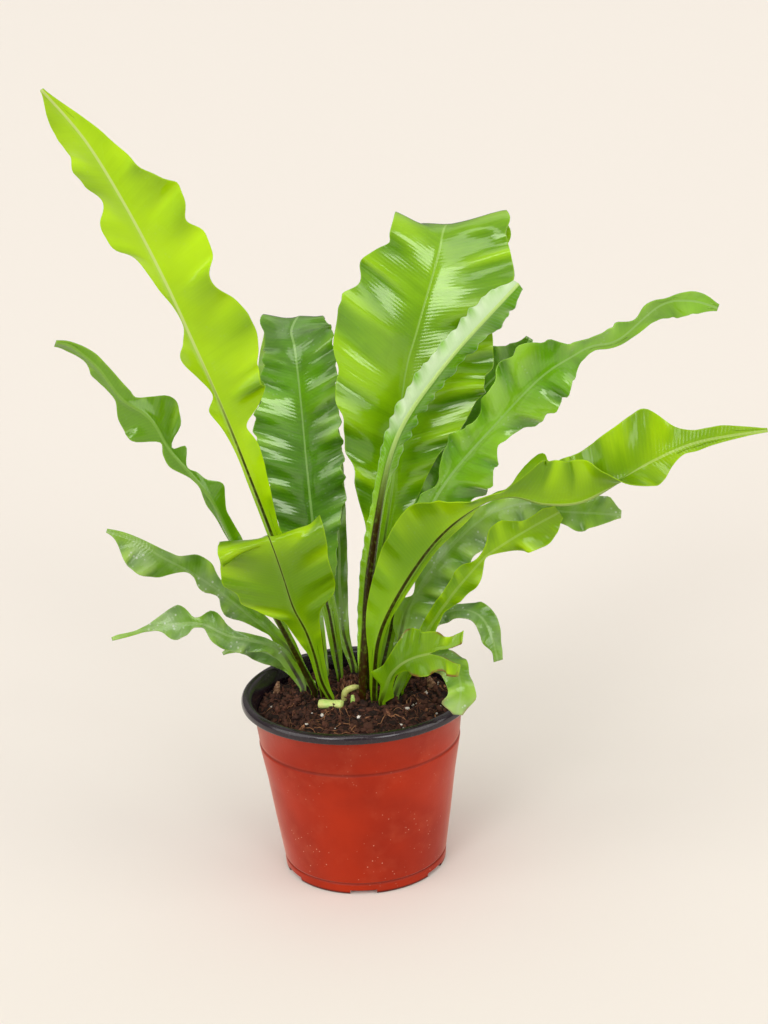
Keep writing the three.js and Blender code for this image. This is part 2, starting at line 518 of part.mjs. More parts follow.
// Closed skin over a row of loops, with a fan at each end; both faces are split the same way
function skin(rings) {
  const count = rings[0].length;
  const half = count / 2;
  const positions = [];
  const index = [];
  rings.forEach((ring) => ring.forEach((point) => positions.push(point.x, point.y, point.z)));
  for (let i = 0; i < rings.length - 1; i += 1) {
    for (let j = 0; j < count; j += 1) {
      const a = i * count + j;
      const b = i * count + ((j + 1) % count);
      const c = a + count;
      const d = b + count;
      if (j < half) index.push(a, b, c, b, d, c);
      else index.push(a, b, d, a, d, c);
    }
  }
  const end = (rings.length - 1) * count;
  for (let j = 0; j < half - 1; j += 1) {
    const other = count - 1 - j;
    index.push(j, other, other - 1, j, other - 1, j + 1);
    index.push(end + j, end + other - 1, end + other, end + j, end + j + 1, end + other - 1);
  }
  const geometry = new THREE.BufferGeometry();
  geometry.setAttribute('position', new THREE.Float32BufferAttribute(positions, 3));
  geometry.setIndex(index);
  return geometry;
}

// A whole frond: peg, winged stalk and blade in one closed body
function frondGeometry(frond) {
  const rib = midrib(frond.spine);
  const foot = frond.spine[0][2];
  const rings = [pegRing(frond, rib, foot - pegDepth), pegRing(frond, rib, foot)];
  const first = firstRing / rib.total;
  for (let i = 0; i <= frond.steps; i += 1) {
    rings.push(bladeRing(frond, rib, first + ((1 - first) * i) / frond.steps));
  }
  return skin(rings);
}

// Change between drawn geometry and solids that can be cut
function toSolid(geometry) {
  const plain = geometry.clone();
  plain.deleteAttribute('normal');
  plain.deleteAttribute('uv');
  const merged = mergeVertices(plain, 1e-4);
  return new wasm.Manifold(new wasm.Mesh({
    numProp: 3,
    vertProperties: new Float32Array(merged.attributes.position.array),
    triVerts: new Uint32Array(merged.index.array),
  }));
}

function fromSolid(solid) {
  const mesh = solid.getMesh();
  const geometry = new THREE.BufferGeometry();
  geometry.setAttribute('position', new THREE.Float32BufferAttribute(Array.from(mesh.vertProperties), 3));
  geometry.setIndex(Array.from(mesh.triVerts));
  return geometry;
}

function lathe(points, sides) {
  const geometry = new THREE.LatheGeometry(points.map(([r, z]) => new THREE.Vector2(r, z)), sides);
  return geometry.rotateX(Math.PI / 2);
}

// Inner wall radius of the pot at a height
function potInside(height) {
  const low = footRadius - wall - 0.4;
  const high = shoulderRadius - shoulderStep - wall;
  if (height <= shoulderHeight) return THREE.MathUtils.lerp(low, high, height / shoulderHeight);
  return THREE.MathUtils.lerp(high, bodyTopRadius - wall, (height - shoulderHeight) / (106 - shoulderHeight));
}

// Pot: one moulded piece, a tapered body with a shoulder line, a turned-over rim and a notched foot
function potGeometry() {
  const rimBottom = potHeight - rimDrop;
  const outside = [
    [0, 0],
    [footRadius - 0.8, 0],
    [footRadius, 0.8],
    [footRadius + 0.3, footHeight - 0.9],
    [footRadius - footGroove + 0.3, footHeight],
    [footRadius + 0.5, footHeight + 0.9],
    [shoulderRadius, shoulderHeight - 1.2],
    [shoulderRadius - shoulderStep, shoulderHeight],
    [shoulderRadius - shoulderStep + 0.7, shoulderHeight + 2.2],
    [bodyTopRadius, rimBottom - 0.4],
    [rimRadius - rimThickness - 0.4, rimBottom + 2.4],
    [rimRadius - rimThickness, rimBottom],
    [rimRadius - 0.6, rimBottom],
    [rimRadius, rimBottom + 0.8],
    [rimRadius, potHeight - 2.2],
    [rimRadius - 1, potHeight - 0.5],
    [rimRadius - 2.6, potHeight],
    [rimRadius - 4.6, potHeight - 0.4],
    [rimRadius - 6.4, potHeight - 2],
  ];
  const inside = [
    [potInside(104), 104],
    [potInside(shoulderHeight), shoulderHeight],
    [potInside(floorThickness), floorThickness],
    [0, floorThickness],
  ];
  let pot = toSolid(lathe([...outside, ...inside], potSides));
  for (let i = 0; i < notchCount; i += 1) {
    const notch = new THREE.BoxGeometry(notchDepth * 2, notchWidth, notchHeight * 2);
    notch.translate(footRadius, 0, 0);
    notch.rotateZ(rad(notchStart + (360 / notchCount) * i));
    pot = pot.subtract(toSolid(notch));
  }
  return fromSolid(pot);
}

// Height of the compost's bumpy surface
function soilHeight(x, y) {
  const out = Math.hypot(x, y) / potInside(soilWallHeight);
  const bumps = Math.sin(x * 0.21 + 1.3) * Math.cos(y * 0.17) + Math.sin(x * 0.09 - y * 0.24);
  const mound = THREE.MathUtils.lerp(soilCentreHeight, soilWallHeight, out * out);
  return mound + soilBump * 0.5 * bumps * (1 - out ** 4);
}

// Compost: fills the pot, with a plain hole for every stalk and seats for what is pressed into it
function soilGeometry(holes) {
  const outer = potInside(soilWallHeight) - gap;
  const profile = [
    [0, floorThickness + gap],
    [potInside(floorThickness) - gap, floorThickness + gap],
    [potInside(shoulderHeight) - gap, shoulderHeight],
    [outer, soilWallHeight],
  ];
  for (let i = soilRings - 1; i >= 0; i -= 1) profile.push([(outer * i) / soilRings, soilCentreHeight]);
  const body = mergeVertices(plainPositions(lathe(profile, potSides)), 1e-4);
  const position = body.attributes.position;
  for (let i = 0; i < position.count; i += 1) {
    const x = position.getX(i);
    const y = position.getY(i);
    if (position.getZ(i) > soilCentreHeight - 0.01) position.setZ(i, soilHeight(x, y));
  }
  let soil = toSolid(body);
  holes.forEach((hole) => {
    soil = soil.subtract(toSolid(hole));
  });
  return fromSolid(soil);
}

function plainPositions(geometry) {
  geometry.deleteAttribute('normal');
  geometry.deleteAttribute('uv');
  return geometry;
}

function uprightCylinder(x, y, radius, bottom, top, sides) {
  const geometry = new THREE.CylinderGeometry(radius, radius, top - bottom, sides);
  return geometry.rotateX(Math.PI / 2).translate(x, y, (top + bottom) / 2);
}

function stalkHole(frond) {
  const [x, y, z] = frond.spine[0];
  return uprightCylinder(x, y, holeRadius, z - pegDepth - gap, z + 10, holeSides);
}

// Rootstock: a low scaly dome between the stalks
function crownGeometry(extra) {
  const { radius, bottom, top } = crown;
  const points = [
    [0, bottom - extra],
    [radius - 0.6 + extra, bottom - extra],
    [radius + extra, bottom + 5],
    [radius - 1.2 + extra, bottom + 8.5],
    [radius - 4 + extra, top - 1],
    [0, top + extra],
  ];
  return lathe(points, 14).translate(crown.x, crown.y, 0);
}

// Cut stalk end lying on the compost
function stubGeometry(extra) {
  const radius = stub.radius + extra;
  const length = stub.length + 2 * extra;
  const points = [
    [0, -length / 2],
    [radius * 0.8, -length / 2],
    [radius, -length / 2 + 1.5],
    [radius * 0.85, length / 2 - 1],
    [radius * 0.6, length / 2],
    [0, length / 2],
  ];
  const geometry = lathe(points, 12).rotateY(Math.PI / 2).scale(1, 1, 0.75);
  return geometry.rotateZ(rad(stub.turn)).translate(stub.x, stub.y, stub.z);
}

// Dead curled stalk and a new sprout, each a bent tapering body with a round foot
function shootGeometry(shoot, extra) {
  const rib = midrib(shoot.path);
  const rings = [];
  const sides = 8;
  for (let i = 0; i <= shoot.steps; i += 1) {
    const u = i / shoot.steps;
    const along = rib.along(u);
    const across = new THREE.Vector3(0, 1, 0).addScaledVector(along, -along.y).normalize();
    const other = new THREE.Vector3().crossVectors(along, across);
    const radius = smooth(shoot.radius, u) + extra;
    const ring = [];
    for (let k = 0; k < sides; k += 1) {
      const angle = rad(22.5 + 45 * k);
      const point = rib.centre(u).addScaledVector(across, radius * Math.cos(angle));
      ring.push(point.addScaledVector(other, radius * Math.sin(angle)));
    }
    rings.push(ring);
  }
  return skin(rings);
}

// Bark chip standing in the compost
function chipGeometry(chip, extra) {
  const geometry = new THREE.BoxGeometry(
    chip.width + 2 * extra,
    chip.thickness + 2 * extra,
    chip.height + 2 * extra,
  );
  geometry.rotateY(rad(chip.lean));
  return geometry.translate(chip.x, chip.y, soilHeight(chip.x, chip.y) + chip.height / 2 - chipSink);
}

// Put the nodes together
const group = new THREE.Group();

function addNode(name, geometry, colour, roughness) {
  const shaped = geometry.index ? geometry.toNonIndexed() : geometry;
  shaped.computeVertexNormals();
  const material = new THREE.MeshStandardMaterial({ color: colour, roughness });
  const mesh = new THREE.Mesh(shaped, material);
  mesh.name = name;
  group.add(mesh);
}

const holes = fronds.map(stalkHole);
holes.push(crownGeometry(gap), stubGeometry(gap));
holes.push(uprightCylinder(curledStub.path[0][0], curledStub.path[0][1], 2.3, 98.7, 112, holeSides));
holes.push(uprightCylinder(sprout.path[0][0], sprout.path[0][1], 2.1, 98.7, 112, holeSides));
chips.forEach((chip) => holes.push(chipGeometry(chip, gap)));

addNode('pot', potGeometry(), 0xb23a20, 0.5);
addNode('soil', soilGeometry(holes), 0x3a241a, 0.95);
addNode('crown', crownGeometry(0), 0x5a3a22, 0.9);
fronds.forEach((frond) => addNode(`frond_${frond.name}`, frondGeometry(frond), frond.colour, 0.35));
addNode('cut_stub', stubGeometry(0), 0xb9cf6a, 0.6);
addNode('curled_stub', shootGeometry(curledStub, 0), 0xa9b04a, 0.7);
addNode('sprout', shootGeometry(sprout, 0), 0x7fae3c, 0.5);
chips.forEach((chip, i) => addNode(`bark_chip_${i + 1}`, chipGeometry(chip, 0), 0x8a6a4c, 0.9));

export default group;
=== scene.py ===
import math

import bpy
import numpy as np
from mathutils import Matrix, Vector


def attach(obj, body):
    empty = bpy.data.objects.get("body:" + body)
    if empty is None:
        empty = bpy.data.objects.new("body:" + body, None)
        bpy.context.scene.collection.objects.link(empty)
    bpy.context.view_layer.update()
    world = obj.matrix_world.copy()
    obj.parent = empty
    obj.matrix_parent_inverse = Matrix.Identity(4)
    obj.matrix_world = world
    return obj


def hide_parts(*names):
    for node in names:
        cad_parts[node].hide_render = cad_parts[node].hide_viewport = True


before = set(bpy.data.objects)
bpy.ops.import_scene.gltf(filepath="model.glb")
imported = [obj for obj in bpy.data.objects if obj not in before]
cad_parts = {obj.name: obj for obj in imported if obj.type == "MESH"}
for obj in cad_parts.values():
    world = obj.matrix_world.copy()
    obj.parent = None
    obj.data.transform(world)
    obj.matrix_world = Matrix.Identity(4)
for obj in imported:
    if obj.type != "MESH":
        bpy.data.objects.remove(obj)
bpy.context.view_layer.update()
mm = 0.001
fullTurn = 2 * math.pi

# Camera, floor and light
studio = {
    "imageTall": 1024, "focalPixels": 1800,     # pixels; a long portrait lens
    "aim": (21, 0, 222), "distance": 1050,      # mm
    "lookDown": 17.5, "tilt": -2.7,             # degrees
    "floorColour": "ede7df", "airColour": "fbf6f0",
    "airLow": 0.3, "airHigh": 0.62,             # light of the white room: dim at eye level, bright above
    "airFrom": 0.15, "airTo": 0.75,             # where it begins and stops rising; 1 is straight up
    "wallColour": "fcefe1", "airSeen": 1.0,     # the pale wall behind the floor's edge
    "suns": [                                   # where from, soft width (degrees), strength, colour
        ("softboxLeft", (-0.93, -0.38, 0.45), 46, 1.0, "fffdfa"),
        ("softboxRight", (0.93, -0.38, 0.4), 46, 0.96, "fffcf8"),
        ("windowFrontLeft", (-0.5, -0.85, 0.48), 22, 0.72, "ffffff"),
        ("windowFrontRight", (0.45, -0.85, 0.42), 22, 0.6, "ffffff"),
        ("windowFront", (-0.15, -0.66, 0.75), 26, 0.43, "ffffff"),
        ("softboxTop", (0.05, 0.3, 1.0), 40, 0.25, "ffffff"),
    ],
}


def linear(hexColour):                          # sRGB hex to the linear colour that shaders take
    parts = [int(hexColour[i:i + 2], 16) / 255 for i in (0, 2, 4)]
    return (*[c / 12.92 if c <= 0.04045 else ((c + 0.055) / 1.055) ** 2.4 for c in parts], 1.0)


def addNode(tree, kind, inputs=None, **settings):   # any shader node, with its values and links
    node = tree.nodes.new("ShaderNode" + kind)
    for name, value in settings.items():
        setattr(node, name, value)
    for name, value in (inputs or {}).items():
        if isinstance(value, bpy.types.NodeSocket):
            tree.links.new(value, node.inputs[name])
        else:
            node.inputs[name].default_value = value
    return node


def perMetre(size):                             # pattern scale for a real size in millimetres
    return 1000 / size


def newMaterial(name):
    material = bpy.data.materials.new(name)
    material.use_nodes = True
    material.node_tree.nodes.clear()
    return material, material.node_tree


def layColours(tree, source, base, ramps, products, layers):
    # source holds numbers by name; a ramp turns one (its range from low to high) smoothly into another, a
    # product multiplies some, and each layer lays its colour over the base by the share of that name
    for name, (read, low, high, first, last) in ramps.items():
        source[name] = addNode(tree, "MapRange", {0: source[read], 1: low, 2: high, 3: first, 4: last},
                               interpolation_type="SMOOTHSTEP").outputs[0]
    for name, parts in products.items():
        source[name] = source[parts[0]]
        for part in parts[1:]:
            source[name] = addNode(tree, "Math", {0: source[name], 1: source[part]},
                                   operation="MULTIPLY").outputs[0]
    colour = linear(base)
    for name, over in layers:
        colour = addNode(tree, "Mix", {0: source[name], 6: colour, 7: linear(over)},
                         data_type="RGBA").outputs[2]
    return colour


def makeStage():
    camera = bpy.data.objects.new("portraitCamera", bpy.data.cameras.new("portraitCamera"))
    bpy.context.scene.collection.objects.link(camera)
    pitch, roll = math.radians(studio["lookDown"]), math.radians(studio["tilt"])
    forward = Vector((0, math.cos(pitch), -math.sin(pitch)))
    right = Vector((1, 0, 0))
    up = right.cross(forward)
    tiltedRight = right * math.cos(roll) + up * math.sin(roll)
    tiltedUp = up * math.cos(roll) - right * math.sin(roll)
    place = Vector(studio["aim"]) * mm - forward * studio["distance"] * mm
    turn = Matrix((tiltedRight, tiltedUp, -forward)).transposed().to_4x4()
    camera.matrix_world = Matrix.Translation(place) @ turn
    camera.data.sensor_width = 36               # mm, along the picture's longer side
    camera.data.lens = 36 * studio["focalPixels"] / studio["imageTall"]
    bpy.context.scene.camera = camera
    bpy.context.scene.view_settings.view_transform = "Standard"

    world = bpy.data.worlds.new("studioAir")
    world.use_nodes = True
    air = world.node_tree
    rise = addNode(air, "SeparateXYZ", {0: addNode(air, "TexCoord").outputs["Generated"]}).outputs["Z"]
    glow = addNode(air, "MapRange", {0: rise, 1: studio["airFrom"], 2: studio["airTo"],
                                     3: studio["airLow"], 4: studio["airHigh"]},
                   interpolation_type="SMOOTHSTEP").outputs[0]
    # beyond the floor's edge the eye meets a pale wall, while the plant gets the dimmer light of the room
    seen = addNode(air, "LightPath").outputs["Is Camera Ray"]
    shown = addNode(air, "Mix", {0: seen, 2: glow, 3: studio["airSeen"]}).outputs[0]
    air.links.new(shown, air.nodes["Background"].inputs["Strength"])
    tint = addNode(air, "Mix", {0: seen, 6: linear(studio["airColour"]), 7: linear(studio["wallColour"])},
                   data_type="RGBA").outputs[2]
    air.links.new(tint, air.nodes["Background"].inputs["Color"])
    bpy.context.scene.world = world

    for name, where, width, strength, colour in studio["suns"]:
        lamp = bpy.data.lights.new(name, "SUN")
        lamp.angle, lamp.energy, lamp.color = math.radians(width), strength, linear(colour)[:3]
        holder = bpy.data.objects.new(name, lamp)
        holder.location = where
        holder.rotation_euler = (-Vector(where)).to_track_quat("-Z", "Y").to_euler()    # toward the plant
        bpy.context.scene.collection.objects.link(holder)

    # painted studio floor, matt, so broad that its edge lies beyond every view
    bpy.ops.mesh.primitive_plane_add(size=120)
    floor = bpy.context.object
    floor.name = "studioFloor"
    material, tree = newMaterial("mattStudioPaint")
    paint = addNode(tree, "BsdfPrincipled", {
        "Base Color": linear(studio["floorColour"]), "Roughness": 0.85, "Specular IOR Level": 0.2})
    addNode(tree, "OutputMaterial", {"Surface": paint.outputs[0]})
    floor.data.materials.append(material)


makeStage()
print("stage: camera, lamps and floor are in place")


# Small tools for shapes
def smoothList(values, share):                  # smooth curve through equally spaced values
    values = np.asarray(values, float)
    last = len(values) - 1
    place = np.clip(share, 0, 1) * last
    index = np.minimum(place.astype(int), last - 1)
    f = place - index
    if values.ndim > 1:
        f = f[..., None]
    a, b, c, d = (values[np.clip(index + k, 0, last)] for k in (-1, 0, 1, 2))
    bend, twist = 2 * a - 5 * b + 4 * c - d, 3 * b - a - 3 * c + d
    return 0.5 * (2 * b + (c - a) * f + bend * f ** 2 + twist * f ** 3)


def unit(vectors):
    return vectors / np.maximum(np.linalg.norm(vectors, axis=-1, keepdims=True), 1e-9)


def ease(low, high, value):                     # 0 below low, 1 above high, smooth between
    t = np.clip((value - low) / (high - low), 0, 1)
    return t * t * (3 - 2 * t)


def tubeWall(rings, around, first=0):           # quads from each ring of points to the next one
    faces = []
    for start in range(first, first + (rings - 1) * around, around):
        for j in range(around):
            k = (j + 1) % around
            faces.append((start + j, start + k, start + around + k, start + around + j))
    return faces


def closedTube(rings, around):
    end = (rings - 1) * around
    return tubeWall(rings, around) + [tuple(range(around))[::-1], tuple(range(end, end + around))]


def addPiece(name, points, faces, materials, replaces=(), faceMaterial=None, numbers=None):
    # points in millimetres; numbers are per-point values that the materials read
    mesh = bpy.data.meshes.new(name)
    mesh.from_pydata((np.asarray(points, float) * mm).tolist(), [], faces)
    mesh.validate()
    mesh.shade_smooth()
    for material in materials:
        mesh.materials.append(material)
    if faceMaterial is not None:
        mesh.polygons.foreach_set("material_index", np.asarray(faceMaterial, np.int32))
    for key, values in (numbers or {}).items():
        layer = mesh.attributes.new(key, "FLOAT", "POINT")
        layer.data.foreach_set("value", np.asarray(values, np.float32).ravel())
    piece = bpy.data.objects.new(name, mesh)
    bpy.context.scene.collection.objects.link(piece)
    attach(piece, "root")
    if replaces:
        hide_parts(*replaces)
    return piece


class Heap:                                     # many small solids gathered into one piece
    def __init__(self):
        self.points, self.faces, self.tones, self.count = [], [], [], 0

    def add(self, points, faces, tone):
        self.points.append(points)
        self.faces += [[i + self.count for i in face] for face in faces]
        self.tones.append(np.full(len(points), tone))
        self.count += len(points)

    def make(self, name, material, slot, replaces=()):
        return addPiece(name, np.concatenate(self.points), self.faces, [material], replaces, None,
                        {"tone": np.concatenate(self.tones)})


# every frond: its midrib from foot to tip, the direction from its right to its left margin, the width of each
# half and the angle that each half is folded up, all at equal steps; waves are count, height and the phase of
# each side; pleats are pitch left and right, height, sharpness and where they start between rib and margin;
# scallop is pitch, size and the phase of each side; all in millimetres, degrees and shares
fronds = {
    "tall_left": {               # tallest, leaning left and forward, underside to the front
        "slot": "frond_bright", "tone": 0.1, "ribDark": 0.5, "darkWide": 0.9,
        "spine": [[-20, 8, 104.5], [-29, 8, 148], [-40, 3, 194], [-54, -6, 247], [-67, -18, 295],
            [-79, -28, 334], [-90, -36, 368], [-106, -46, 410], [-124, -54, 448], [-143, -60, 475]],
        "across": [[0.9, -0.3, 0.3], [0.85, -0.4, 0.35], [0.8, -0.45, 0.4], [0.8, -0.45, 0.45]],
        "left": [2, 2.7, 3.1, 3, 2.9, 3.4, 4.1, 4.8, 5.4, 6.3, 5.3, 6.6, 8.2, 9.7, 11.6, 12.5, 9, 20.3,
            28.9, 29.5, 34.1, 37.4, 35.1, 29, 26.7, 30.7, 32.1, 26.8, 31.9, 30.6, 19.9, 13.5, 10.4, 6.9,
            3.4, 0.8],
        "right": [2, 2.7, 3.1, 3, 3, 2.9, 3.1, 3.8, 4.1, 4, 4, 4, 4, 4, 3.8, 4.6, 6.9, 11.2, 3.6, 8.9,
            16.3, 8.7, 2.2, 3.5, 8.3, 11.6, 16.1, 25.2, 24.3, 15.9, 19.9, 21.4, 17.4, 14.8, 9.9, 1],
        "foldLeft": [5, 5, 8, 8], "foldRight": [10, 10, 14, 10],
        "waves": (7, 3, 0.1, 0.5), "pleats": [(34, 40, 4.6, 0.4, 0.1), (19, 17, 1, 0.2, 0.3)],
    },
    "dark_upright": {            # dark and pleated, its top bent over backward
        "slot": "frond_dark", "tone": -0.3, "ribDark": 0.3,
        "spine": [[-11, 36, 104.5], [-15, 39, 142], [-21, 42, 180], [-24, 48, 230], [-26, 56, 278],
            [-28, 66, 306], [-30, 78, 316], [-24, 94, 320], [-22, 106, 286]],
        "across": [[-1, 0.05, 0], [-1, 0.05, -0.1]],
        "left": [2, 2.8, 3.5, 3.8, 4, 4.3, 5.3, 7.2, 9.7, 14.1, 19.2, 22.7, 24.7, 24.9, 25.1, 28.5, 30.1,
            29.7, 27.2, 21.9, 22.4, 19.7, 18.3, 17.5, 21.8, 24, 22, 18, 10, 3],
        "right": [2, 3, 4.1, 4.6, 5.1, 5.4, 6.2, 10.3, 12.5, 14.3, 16.5, 19.8, 22.3, 22.8, 23.3, 23.6,
            23.9, 24, 23.9, 23.8, 24.1, 24.5, 23.6, 24.3, 23.7, 15, 13, 11, 8, 3],
        "foldLeft": [15, 15, 15, 15, 15, 8, -5, -5], "foldRight": [15, 15, 15, 15, 15, 8, -5, -5],
        "waves": (9, 2.5, 0, 0.4), "pleats": [(14, 10.5, 1, 0.2, 0), (27, 25, 1.7, 0.3, 0.1)],
        "scallop": (12, 1.2, 0, 0.5),
    },
    "centre_big": {              # broadest, glossy, its top bent over backward
        "slot": "frond_green", "tone": 0.1, "ribDark": 0.3,
        "spine": [[6, 17, 104.5], [10, 26, 139], [18, 34, 181], [28, 42, 232], [37, 50, 289],
            [46, 54, 318], [59, 62, 356], [65, 74, 374], [70, 92, 370], [76, 108, 340]],
        "across": [[-1, 0, 0], [-1, 0, -0.1], [-0.97, 0, -0.22], [-0.95, 0, -0.12]],
        "left": [2, 2.5, 3.1, 3.7, 4.5, 5.7, 7.6, 7.5, 9.5, 11.4, 14.8, 18.5, 22.4, 26.4, 30.2, 33.3,
            36.4, 39.4, 41.7, 43.7, 46.6, 48.7, 49.9, 42.2, 44.1, 38.5, 30.5, 29.6, 31.8, 34.6, 39.2, 33,
            22, 4],
        "right": [2, 2.6, 3, 3, 3.2, 3.8, 4.8, 9.8, 10.3, 10.8, 12.3, 14.1, 16.9, 20.1, 25, 31.2, 38.2,
            43.7, 47.9, 48.6, 48.6, 48.3, 46.6, 44.8, 47.1, 47.1, 44.6, 40.7, 38, 35.3, 33.2, 33, 22, 4],
        "foldLeft": [14, 14, 14, 14, 14, 12, 18, 24], "foldRight": [14, 14, 14, 14, 14, 12, -3, -14],
        "waves": (6.5, 5, 0.2, 0.6), "pleats": [(29, 26, 2.6, 0.4, 0.05), (15, 13.5, 0.7, 0.2, 0)],
        "scallop": (26, 1.6, 0.1, 0.6),
    },
    "young_centre": {            # young, still folded lengthwise
        "slot": "frond_young", "tone": 0.3, "ribDark": 0.5, "paleSide": -1, "ringStep": 1.1,
            "darkWide": 3.2,
        "spine": [[2.5, 0, 104.5], [7, 2, 142], [9, 4, 166], [12, 6, 188], [17, 10, 214],
            [23, 13, 241], [30, 15, 261], [39, 16, 277], [52, 17, 294], [66, 19, 310], [81, 22, 325],
            [95, 26, 338], [105, 30, 347]],
        "across": [[0.95, 0, -0.1], [0.95, 0, -0.1], [0.8, 0, -0.5]],
        "left": [2, 2, 2, 2.3, 2.6, 2.8, 3, 3, 3.2, 3.6, 5, 8, 10.5, 11.5, 12, 12, 12.5, 13, 14, 15, 12, 5],
        "right": [2, 3, 5, 6, 6.5, 6.5, 7, 7, 7, 6.5, 6.5, 7.5, 9.5, 11, 12, 12.5, 13, 13, 13, 13, 11, 4],
        "foldLeft": [20, 25, 30, 45, 50, 50, 50, 35], "foldRight": [20, 25, 30, 40, 48, 50, 50, 40],
        "waves": (7, 1.5, 0, 0.4),
        "pleats": [(21, 23, 1.3, 0.3, 0.1), (9, 10, 0.5, 0.4, 0.1), (9.5, 8.5, 1.3, 0.5, 0.6)],
    },
    "right_upper": {             # dark, twisted tip
        "slot": "frond_dark", "tone": 0.25, "ribDark": 0.25, "ribPale": 0.8,
        "spine": [[13, 24, 104.5], [20, 22, 133], [29, 20, 169], [43, 20, 206], [60, 20, 235],
            [91, 20, 269], [116, 22, 293], [137, 26, 305], [147, 28, 309], [163, 30, 312],
            [187, 32, 330], [205, 32, 332], [221, 32, 327]],
        "across": [[-0.9, 0.1, 0.2], [-0.7, -0.1, 0.7], [-0.7, -0.1, 0.7], [-0.7, -0.1, 0.7],
            [-0.5, -0.4, 0.7], [-0.3, -0.1, 0.9]],
        "left": [2, 2.4, 2.9, 3.4, 3.8, 4.3, 4.7, 5.2, 5.6, 6.1, 7, 8, 9.2, 3.7, 9.3, 13.8, 15.4, 10.9,
            14, 20, 22.3, 24.3, 23, 15.5, 8.9, 6.3, 11.3, 10.5, 3.8, 7.1, 2.9, 5.7, 5.5, 2.2],
        "right": [2, 2.4, 2.9, 3.4, 3.8, 4.2, 4.6, 5.4, 6.5, 8.5, 12.2, 16, 19.5, 21.9, 25.9, 21.8, 17,
            10.5, 12.1, 18.8, 19.4, 19.2, 18.2, 14.5, 7.2, 3.8, 4, 4.7, 5.7, 7.2, 11.4, 9.8, 6.6, 2.1],
        "foldLeft": [8, 8], "foldRight": [8, 8],
        "waves": (6, 4, 0, 0.5), "pleats": [(26, 29, 3.4, 0.4, 0), (15, 16, 0.7, 0.2, 0.1)],
        "scallop": (15, 1.5, 0, 0.5),
    },
    "right_behind": {            # behind the one to the upper right
        "slot": "frond_dark", "tone": -0.5, "ribDark": 0.3,
        "spine": [[6, 32, 104.5], [16, 42, 125], [28, 56, 166], [50, 64, 208], [70, 69, 251],
            [85, 72, 275], [107, 74, 294], [115, 74, 305]],
        "across": [[-0.8, 0, 0.5], [-0.7, 0, 0.7]],
        "left": [2, 3, 4, 6, 10, 14, 17, 22, 24, 18, 3],
        "right": [2, 3, 4, 6, 10, 14, 17, 18, 17, 12, 2],
        "foldLeft": [8, 8], "foldRight": [8, 8],
        "waves": (6, 2, 0, 0.5), "pleats": [(15, 16, 1.6, 0.4, 0.1)], "scallop": (22, 1.8, 0, 0.5),
    },
    "right_long": {              # long and bright, turned over half way
        "slot": "frond_bright", "tone": -0.7, "ribDark": 0.5, "ribPale": 0.45, "darkWide": 0.85,
        "spine": [[9.5, 2, 104.5], [14, -4, 144], [28, -10, 176], [50, -20, 210], [74, -30, 233],
            [93, -38, 240], [111, -46, 237], [130, -52, 239], [149, -54, 249], [169, -52, 260],
            [196, -48, 269], [234, -46, 273]],
        "across": [[1, 0, 0], [0.95, 0.05, -0.2], [0.85, 0.1, -0.5], [0.7, 0.15, -0.7],
            [0.6, 0.3, -0.75], [0.1, 0.98, 0], [0, 0.6, 0.8], [0, 0.5, 0.85], [-0.1, 0.4, 0.9],
            [-0.1, 0.4, 0.9], [-0.1, 0.4, 0.9]],
        "left": [2, 1.9, 2, 2.5, 3, 3, 3, 3.4, 4, 4.6, 5, 5.1, 5, 4.9, 5, 5.4, 6, 6.6, 7, 6.9, 7, 7.9,
            29.9, 24.4, 23.5, 25.1, 25.9, 25.9, 25.6, 26.1, 26.4, 26.7, 28, 27.3, 13.2, 7.5, 6.6, 6.5,
            4.9, 3.2, 1.5],
        "right": [2, 2.4, 3, 3.8, 5, 7.3, 10, 12.6, 15, 17.1, 19, 21.1, 23, 24.2, 25, 25.8, 25, 19.6, 14,
            11.4, 8, 6, 14, 28, 27, 26, 25, 24, 21, 16, 12, 14, 12, 7, 4, 4.6, 3.6, 2.7, 1.9, 1.1, 0.8],
        "foldLeft": [5, 5, 5, 5, 10, 10, 5, 5],
        "foldRight": [5, 5, 5, 5, 5, 5, 5, 5, 5, 10, 30, 90, 135, 145, 135, 50, 0, 0, 0, 0, 0],
        "waves": (4, 1, 0, 0.5), "pleats": [(33, 28, 2, 0.5, 0.1), (14, 13, 0.6, 0.2, 0.2)],
    },
    "right_low": {               # dusty, arching low on the right
        "slot": "frond_dusty", "tone": 0.1, "ribDark": 0.2, "ribPale": 0.5,
        "spine": [[18, 16, 104.5], [27, 14, 136], [33, 13, 157], [46, 10, 179], [61, 7, 197],
            [75, 4, 211], [89, 0, 220], [106, -6, 225], [120, -10, 221], [137, -14, 220], [157, -18, 219]],
        "across": [[-0.8, 0.3, 0.2], [-0.7, 0.4, 0.4], [-0.5, 0.5, 0.7], [-0.3, 0.5, 0.8], [0, 0.6, 0.8]],
        "left": [2, 2.7, 3.6, 0.8, 0.8, 6.1, 6.9, 7.7, 1.3, 4, 7.8, 8.8, 7.8, 6.8, 7.1, 7.6, 7.8, 6.6,
            6.6, 5.5, 5.4, 4.8, 5.7, 4.4, 7.2, 10.7, 11, 2.8],
        "right": [2, 2.7, 3.7, 7.2, 8.5, 10.2, 12.6, 13.8, 14.2, 14.9, 15.8, 16.2, 16, 15.4, 15, 14.9,
            14, 12.6, 11.5, 9.7, 9.9, 9, 6.2, 7.6, 11.2, 8.9, 5.4, 1.7],
        "foldLeft": [5, 5], "foldRight": [5, 5],
        "waves": (4, 3, 0, 0.5), "pleats": [(20, 18, 2.2, 0.5, 0)],
    },
    "right_low_second": {        # bright, low on the right
        "slot": "frond_bright", "tone": -0.7, "ribDark": 0.2, "ribPale": 0.25,
